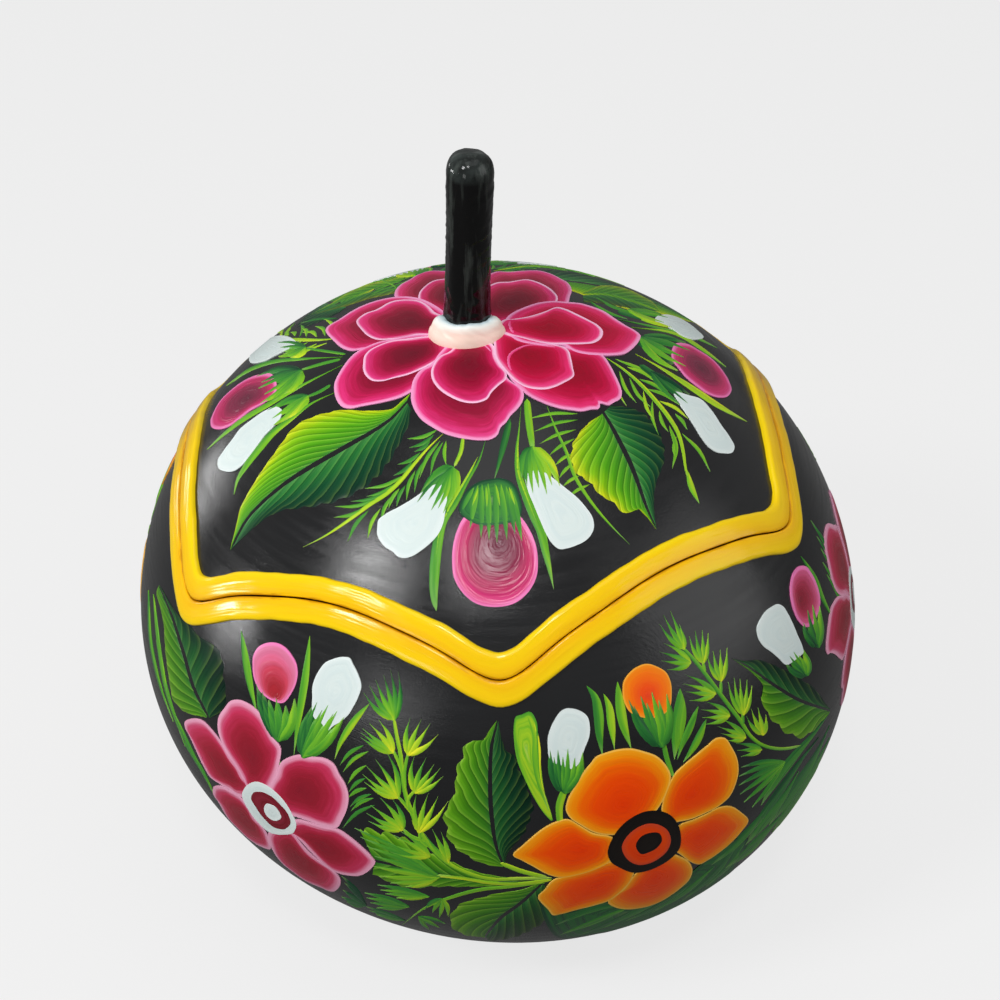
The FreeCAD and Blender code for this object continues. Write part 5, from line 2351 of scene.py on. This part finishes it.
        vein = trace(542, 885, 520, 905, 500, 920, 485, 937)
        leaves.leaf_half(vein, trace(
            535, 886, 525, 890, 510, 893, 495, 895, 480, 899, 465, 903, 456, 908, 450, 917, 449, 925,
            460, 935, 485, 939,
        ), 0.15, 9, 0.25, 0.1)
        leaves.leaf_half(vein, trace(
            548, 889, 553, 905, 548, 920, 535, 930, 515, 939, 490, 943,
        ), 0.9, 8, 0.25, 0.1)

    def paint_orange_flower(self) -> None:
        """Six orange petals round a black ring, with dark grass under them."""
        greens = self.greens
        greens.daub(trace(
            541, 900, 556, 913, 600, 903, 640, 905, 690, 880, 730, 842, 748, 838, 738, 866, 712, 890,
            676, 912, 636, 927, 590, 936, 556, 938,
        ), (630, 914), -0.02)
        for line, width, tone in (
            (trace(622, 905, 590, 912, 556, 926), 6, 0.24), (trace(630, 908, 596, 922, 560, 936), 7, 0.36),
            (trace(634, 911, 610, 924, 580, 936), 5, 0.16), (trace(660, 902, 634, 914, 604, 929), 6, 0.26),
            (trace(692, 884, 664, 904, 626, 922), 7, 0.2), (trace(716, 866, 690, 890, 652, 914), 6, 0.28),
            (trace(738, 846, 714, 876, 682, 902), 7, 0.2), (trace(746, 842, 732, 864, 706, 888), 5, 0.3),
        ):
            greens.stroke(line, width, Track.SPINDLE, tone)
        oranges = self.oranges
        far = 0.01 * MM
        oranges.daub(trace(
            680, 857, 690, 863, 693, 870, 690, 880, 682, 888, 670, 897, 655, 905, 640, 909, 625, 910,
            615, 908, 608, 903, 612, 898, 622, 892, 630, 882, 638, 872, 650, 855,
        ), (656, 878), 0, far)
        oranges.daub(trace(
            680, 826, 695, 820, 708, 814, 720, 808, 732, 807, 742, 813, 749, 820, 742, 832, 732, 843,
            720, 853, 708, 861, 700, 865, 690, 862, 682, 856, 668, 845,
        ), (698, 838), 0, far)
        oranges.daub(trace(
            538, 899, 545, 890, 552, 882, 570, 876, 590, 870, 610, 862, 635, 862, 632, 880, 622, 892,
            610, 901, 595, 906, 575, 911, 560, 915, 553, 916, 548, 910, 541, 903,
        ), (600, 884), 0, far)
        oranges.daub(trace(
            663, 803, 668, 788, 675, 775, 685, 765, 697, 755, 708, 746, 719, 738, 725, 738, 732, 747,
            738, 760, 739, 772, 736, 785, 730, 797, 720, 806, 705, 814, 690, 820, 680, 822, 665, 825,
        ), (690, 796), 0, far)
        oranges.daub(trace(
            513, 856, 522, 847, 532, 838, 542, 830, 555, 823, 568, 820, 580, 826, 592, 833, 615, 840,
            612, 860, 595, 870, 575, 876, 562, 878, 548, 875, 535, 868, 522, 861,
        ), (582, 850), 0, far)
        oranges.daub(trace(
            566, 811, 568, 800, 574, 788, 582, 775, 590, 765, 597, 757, 607, 753, 618, 750, 632, 749,
            645, 752, 658, 757, 666, 765, 671, 775, 668, 790, 662, 803, 656, 812, 640, 830, 620, 835,
            595, 833, 580, 825, 570, 818,
        ), (624, 806), 0, far)
        self.inks.daub(trace(
            608, 855, 612, 840, 620, 828, 632, 818, 645, 812, 658, 811, 670, 815, 678, 824, 681, 835,
            680, 848, 672, 858, 660, 866, 648, 871, 634, 873, 620, 868, 611, 862,
        ), (646, 842))
        self.embers.daub(trace(
            622, 847, 627, 837, 636, 829, 648, 824, 659, 825, 668, 831, 671, 840, 668, 850, 660, 858,
            648, 864, 638, 865, 628, 860,
        ), (647, 844))
        self.inks.level += 0.045 * MM
        self.inks.daub(trace(
            636, 846, 640, 838, 650, 833, 660, 834, 662, 840, 658, 847, 650, 852, 641, 854,
        ), (649, 843))

    def paint_orange_buds(self) -> None:
        """An orange and a white bud, a pod and blades over the orange flower."""
        greens = self.greens
        greens.stroke(trace(664, 742, 668, 760, 674, 778), 5.5, Track.STALK, 0.5)
        greens.stroke(trace(566, 788, 560, 806, 561, 830), 8, Track.STALK, 0.66)
        for line, width, tone in (
            (trace(587, 686, 595, 697, 599, 715, 600, 735, 603, 757), 11, 0.4),
            (trace(604, 694, 609, 705, 612, 725, 615, 750), 9, 0.62),
            (trace(618, 682, 620, 700, 624, 725, 632, 750), 11, 0.56),
            (trace(681, 689, 681, 710, 678, 735, 675, 760), 15, 0.5),
            (trace(699, 707, 690, 730, 683, 745, 678, 760), 8, 0.44),
            (trace(707, 720, 700, 738, 692, 752, 684, 763), 8, 0.5),
        ):
            greens.stroke(line, width, Track.SPINDLE, tone, 22)
        greens.daub(trace(
            514, 725, 516, 717, 522, 715, 530, 712, 536, 720, 538, 735, 539, 755, 542, 785, 547, 800,
            552, 822, 545, 815, 535, 800, 525, 780, 517, 760, 514, 740,
        ), (526, 750), 0.55)
        greens.stroke(trace(527, 715, 535, 735, 536, 760, 540, 785, 549, 812), 10, Track.SPINDLE, 0.6, 24)
        greens.stroke(trace(534, 722, 539, 745, 540, 775, 547, 805), 3.5, Track.SPINDLE, 0.9, 20)
        Bud(trace(
            623, 690, 624, 682, 629, 674, 636, 668, 648, 664, 658, 667, 666, 672, 671, 682, 672, 695,
            670, 708, 662, 716, 645, 718, 630, 712, 624, 700,
        ), (648, 696), (662, 748), trace(
            629, 700, 634, 706, 641, 696, 647, 703, 652, 692, 659, 700, 667, 694,
        ), 17, 0.5).paint(self.flames, self.sepals)
        Bud(trace(
            548, 748, 548, 738, 551, 728, 555, 720, 562, 711, 566, 709, 573, 709, 580, 711, 587, 716,
            590, 727, 589, 738, 585, 748, 582, 757, 578, 765, 572, 769, 560, 765, 552, 762, 549, 757,
        ), (568, 738), (565, 794), trace(
            550, 750, 554, 757, 558, 750, 563, 757, 568, 749, 575, 758, 583, 752,
        ), 16, 0.48).paint(self.whites, self.sepals)

    def paint_right_sprig(self) -> None:
        """The spray, the dark leaf and the two buds on the right."""
        greens, leaves = self.greens, self.leaves
        stem = trace(
            681, 645, 695, 660, 707, 675, 718, 690, 730, 706, 742, 722, 752, 737, 762, 745, 775, 749,
            790, 749, 802, 746,
        )
        greens.stroke(stem, 4.5, Track.STALK, 0.52, 34)
        tufts = (
            ((685, 650), trace(660, 624, 664, 615, 671, 611, 680, 624), 0.4),
            ((692, 663), trace(664, 643, 660, 652, 662, 661, 668, 670), 0.42),
            ((704, 664), trace(690, 636, 696, 631, 703, 630, 709, 633), 0.46),
            ((722, 682), trace(708, 656, 714, 651, 721, 650, 728, 648), 0.5),
            ((717, 694), trace(686, 675, 684, 684, 686, 692, 690, 701), 0.44),
            ((744, 716), trace(729, 682, 735, 678, 741, 679, 748, 680, 753, 686), 0.5),
            ((731, 716), trace(706, 702, 702, 710, 703, 718, 705, 725), 0.46),
            ((764, 736), trace(747, 716, 752, 709, 759, 708, 767, 715), 0.54),
            ((747, 738), trace(722, 719, 719, 727, 722, 734, 728, 741), 0.48),
            ((763, 750), trace(737, 744, 738, 751, 742, 757), 0.44),
        )
        for base, tips, tone in tufts:
            greens.fan(base, tips, 6.6, tone, 0.1, 0.15, Track.SPIKE, 0.34)
        for stalk in (trace(706, 672, 704, 662), trace(744, 725, 744, 714), trace(722, 694, 722, 682)):
            greens.stroke(stalk, 3.5, Track.STALK, 0.5)
        for line, width, tone in (
            (trace(830, 714, 817, 732, 798, 754, 778, 780, 762, 806), 10, 0.3),
            (trace(831, 726, 821, 748, 805, 776, 787, 802, 770, 826), 11, 0.24),
            (trace(831, 738, 819, 762, 804, 788, 789, 812, 773, 833), 11, 0.36),
            (trace(820, 738, 803, 760, 785, 786, 767, 812, 750, 836), 9, 0.16),
            (trace(800, 772, 785, 798, 766, 822, 746, 846), 10, 0.3),
            (trace(786, 812, 768, 832, 748, 852, 726, 869), 9, 0.32),
            (trace(776, 796, 758, 822, 736, 846, 712, 866), 8, 0.24),
        ):
            greens.stroke(line, width, Track.BLADE, tone, 22)
        greens.fan((786, 762), trace(
            742, 768, 740, 777, 740, 786, 741, 795, 745, 803, 753, 808,
        ), 6, 0.34, 0.06, 0.15, Track.SPINDLE, 0.2)
        vein = trace(732, 658, 750, 668, 775, 685, 800, 700, 831, 711)[::-1]
        leaves.leaf_half(vein, trace(
            734, 659, 745, 661, 760, 660, 775, 665, 790, 672, 800, 678, 812, 685, 831, 709,
        )[::-1], 1.0, 8, 0.3, 0.08)
        leaves.leaf_half(vein, trace(
            738, 662, 752, 672, 765, 687, 768, 697, 762, 698, 765, 706, 769, 715, 778, 725, 790, 735,
            805, 738, 818, 728, 831, 713,
        )[::-1], 0.1, 9, 0.3, 0.16)
        greens.stroke(trace(802, 556, 815, 575, 825, 600, 836, 622), 5, Track.SPINDLE, 0.44)
        greens.sprig(trace(
            834, 560, 812, 520, 838, 572, 818, 536, 840, 584, 822, 548, 842, 596, 824, 562, 844, 606,
            828, 574, 846, 590, 836, 548,
        ), 4, 0.24, bow=0.04)
        Bud(trace(
            758, 627, 762, 618, 768, 610, 774, 606, 778, 604, 783, 606, 788, 613, 793, 623, 798, 635,
            803, 647, 804, 652, 798, 658, 793, 662, 787, 665, 780, 659, 772, 652, 765, 647, 760, 640,
        ), (782, 634), (808, 676), trace(
            787, 664, 790, 656, 794, 652, 799, 655, 804, 650,
        ), 12, 0.5).paint(self.whites, self.sepals)
        Bud(trace(
            792, 600, 791, 590, 792, 580, 795, 571, 800, 566, 806, 566, 812, 573, 817, 583, 820, 593,
            821, 603, 818, 615, 812, 626, 806, 627, 800, 622, 795, 612,
        ), (801, 600), (819, 648), trace(
            804, 623, 808, 610, 813, 605, 820, 606,
        ), 11, 0.5, 0.5).paint(self.roses, self.sepals)

    def paint_left_edge(self) -> None:
        """The leaf and the grass at the left edge of what the photograph shows."""
        leaves, greens = self.leaves, self.greens
        vein = trace(158, 585, 169, 612, 181, 650, 193, 690, 207, 717)[::-1]
        leaves.leaf_half(vein, trace(
            158, 585, 155, 592, 158, 605, 162, 625, 163, 645, 165, 665, 168, 685, 171, 700, 184, 713,
            205, 718,
        )[::-1], 0.2, 10, 0.3, 0.05)
        leaves.leaf_half(vein, trace(
            160, 588, 175, 612, 188, 625, 200, 638, 213, 645, 220, 655, 223, 680, 225, 700, 218, 714,
            209, 719,
        )[::-1], 1.0, 9, 0.3, 0.08)
        for line, width, tone in (
            (trace(147, 590, 149, 640, 160, 690, 172, 722), 3.6, 0.36),
            (trace(152, 594, 158, 650, 168, 702), 3.6, 0.46), (trace(155, 640, 165, 690, 184, 747), 4, 0.4),
            (trace(182, 742, 200, 770, 214, 797), 3.6, 0.34), (trace(172, 712, 190, 752, 206, 782), 4, 0.34),
        ):
            greens.stroke(line, width, Track.SPINDLE, tone, 24)


@dataclass(frozen=True)
class Lamp:
    """A soft lamp aimed at the gourd.

    Attributes:
        name: the lamp's name.
        azimuth: where it stands, in degrees from the front towards +X.
        elevation: how high it stands over the gourd's middle.
        distance: how far off it is.
        width: its width.
        height: its height.
        power: its power in watts.
    """

    name: str
    azimuth: float
    elevation: float
    distance: float
    width: float
    height: float
    power: float

    def place(self, form: GourdForm) -> None:
        """Puts the lamp in the scene.

        Args:
            form: the gourd, at whose middle the lamp is aimed.
        """
        data = bpy.data.lights.new(self.name, "AREA")
        data.shape = "RECTANGLE"
        data.size, data.size_y, data.energy = self.width, self.height, self.power
        lamp = bpy.data.objects.new(self.name, data)
        turn, rise = math.radians(self.azimuth), math.radians(self.elevation)
        way = Vector((math.sin(turn) * math.cos(rise), -math.cos(turn) * math.cos(rise), math.sin(rise)))
        lamp.location = Vector(form.middle) + way * self.distance
        lamp.rotation_euler = (-way).to_track_quat("-Z", "Y").to_euler()
        bpy.context.scene.collection.objects.link(lamp)


@dataclass
class Studio:
    """White paper under the gourd, soft lamps and a white surround.

    Attributes:
        form: the gourd.
        paper: half the paper's width.
        surround: how strongly the surround lights the gourd.
        brightness: how much of the paper's look is plain white.
        mirrored: how much of that white shows in what the object mirrors.
        backdrop: how bright the surround looks behind the paper.
        matt: how much of the lamps' light the paper gives back.
        lamps: the lamps.
    """

    form: GourdForm
    paper: float = 12.0
    surround: float = 0.27
    brightness: float = 0.75
    mirrored: float = 0.1
    backdrop: float = 0.79
    matt: float = 0.14
    lamps: tuple[Lamp, ...] = (
        Lamp("key_lamp", -52, 42, 1.1, 0.26, 0.21, 4.4),
        Lamp("high_lamp", -2, 57, 1.1, 0.2, 0.16, 2.6),
        Lamp("low_lamp", -85, 4, 1.1, 0.17, 0.13, 2.0),
        Lamp("front_lamp", -31, 8, 1.2, 0.4, 0.3, 1.2),
        Lamp("left_lamp", -123, 4, 1.1, 0.3, 0.2, 0.9),
        Lamp("right_lamp", 72, 18, 1.2, 0.9, 0.9, 2.9),
        Lamp("top_lamp", 20, 82, 1.2, 0.9, 0.9, 2.1),
    )

    def seen(self, graph: Graph) -> Socket:
        """How much of the white a ray sees.

        Args:
            graph: lays the nodes.

        Returns:
            1 for rays from the camera, a share of 1 for reflected and refracted ones, otherwise 0.
        """
        path = graph.add("LightPath")
        mirrored = graph.math("MAXIMUM", path.outputs["Is Glossy Ray"], path.outputs["Is Transmission Ray"])
        return graph.math("MULTIPLY_ADD", mirrored, self.mirrored, path.outputs["Is Camera Ray"], clamp=True)

    def build(self) -> None:
        """Sets up the surround, the paper and the lamps."""
        scene = bpy.context.scene
        world = bpy.data.worlds.new("white_surround")
        scene.world = world
        world.use_nodes = True
        world.node_tree.nodes.clear()
        graph = Graph(world.node_tree)
        limits = {"To Min": self.surround, "To Max": self.backdrop}
        level = graph.add("MapRange", {"Value": self.seen(graph), **limits})
        air = graph.add("Background", {"Strength": level.outputs[0]})
        air.inputs["Color"].default_value = (1, 1, 1, 1)
        graph.add("OutputWorld", {"Surface": air.outputs[0]})

        sheet = bpy.data.materials.new("white_paper")
        sheet.use_nodes = True
        sheet.node_tree.nodes.clear()
        graph = Graph(sheet.node_tree)
        matt = graph.add("BsdfDiffuse", {"Color": (self.matt, self.matt, self.matt, 1)})
        white = graph.math("MULTIPLY", self.seen(graph), self.brightness)
        glow = graph.add("Emission", {"Color": (1, 1, 1, 1), "Strength": white})
        both = graph.add("AddShader", {0: matt.outputs[0], 1: glow.outputs[0]})
        graph.add("OutputMaterial", {"Surface": both.outputs[0]})

        mesh = bpy.data.meshes.new("paper")
        far = self.paper
        mesh.from_pydata([(-far, -far, 0), (far, -far, 0), (far, far, 0), (-far, far, 0)], [], [(0, 1, 2, 3)])
        mesh.materials.append(sheet)
        paper = bpy.data.objects.new("paper", mesh)
        paper.location = (0, 0, -0.1 * MM)
        scene.collection.objects.link(paper)
        for lamp in self.lamps:
            lamp.place(self.form)
        scene.view_settings.view_transform = "Standard"


def main() -> None:
    """Builds the gourd box, its paint and the studio, in that order."""
    logging.basicConfig(level=logging.INFO, format="%(name)s: %(message)s")
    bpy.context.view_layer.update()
    form, seam, view = GourdForm(), Seam(), Viewpoint()
    up, down = seam.pole, np.array([0, 0, -1.0])
    band = 4.7 * MM
    lid_rows = np.linspace(0.01, 1, 76)
    bowl_rows = np.concatenate([np.linspace(0.012, 0.26, 34, endpoint=False), np.linspace(0.26, 1, 76)])
    lid = Shell("lid_shell_lacquered", "lid", "lid_rind", form, seam, up, seam.gap, lid_rows).build()
    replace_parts(lid, "lid_shell")
    bowl = Shell("bowl_shell_lacquered", "bowl", "bowl_rind", form, seam, down, 0.0, bowl_rows).build()
    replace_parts(bowl, "bowl_shell")
    upper = Border("lid_border_bead", "lid", "lid_border_paste", form, seam, band, seam.gap, seed=5).build()
    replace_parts(upper, "lid_border")
    lower = Border("bowl_border_bead", "bowl", "bowl_border_paste", form, seam, -band, 0.0, seed=9).build()
    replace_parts(lower, "bowl_border")
    stem = Stem("stem_lacquered", "lid", "stem_wood", form)
    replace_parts(stem.build(), "stem")
    collar = Collar("collar_filler_ring", "lid", "collar_filler", stem)
    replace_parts(collar.build(), "stem_collar")
    LidPainting(form, view, stem).paint()
    BowlPainting(form, view).paint()
    Studio(form).build()
    view.place_camera(form)
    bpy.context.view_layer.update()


if __name__ == "__main__":
    main()
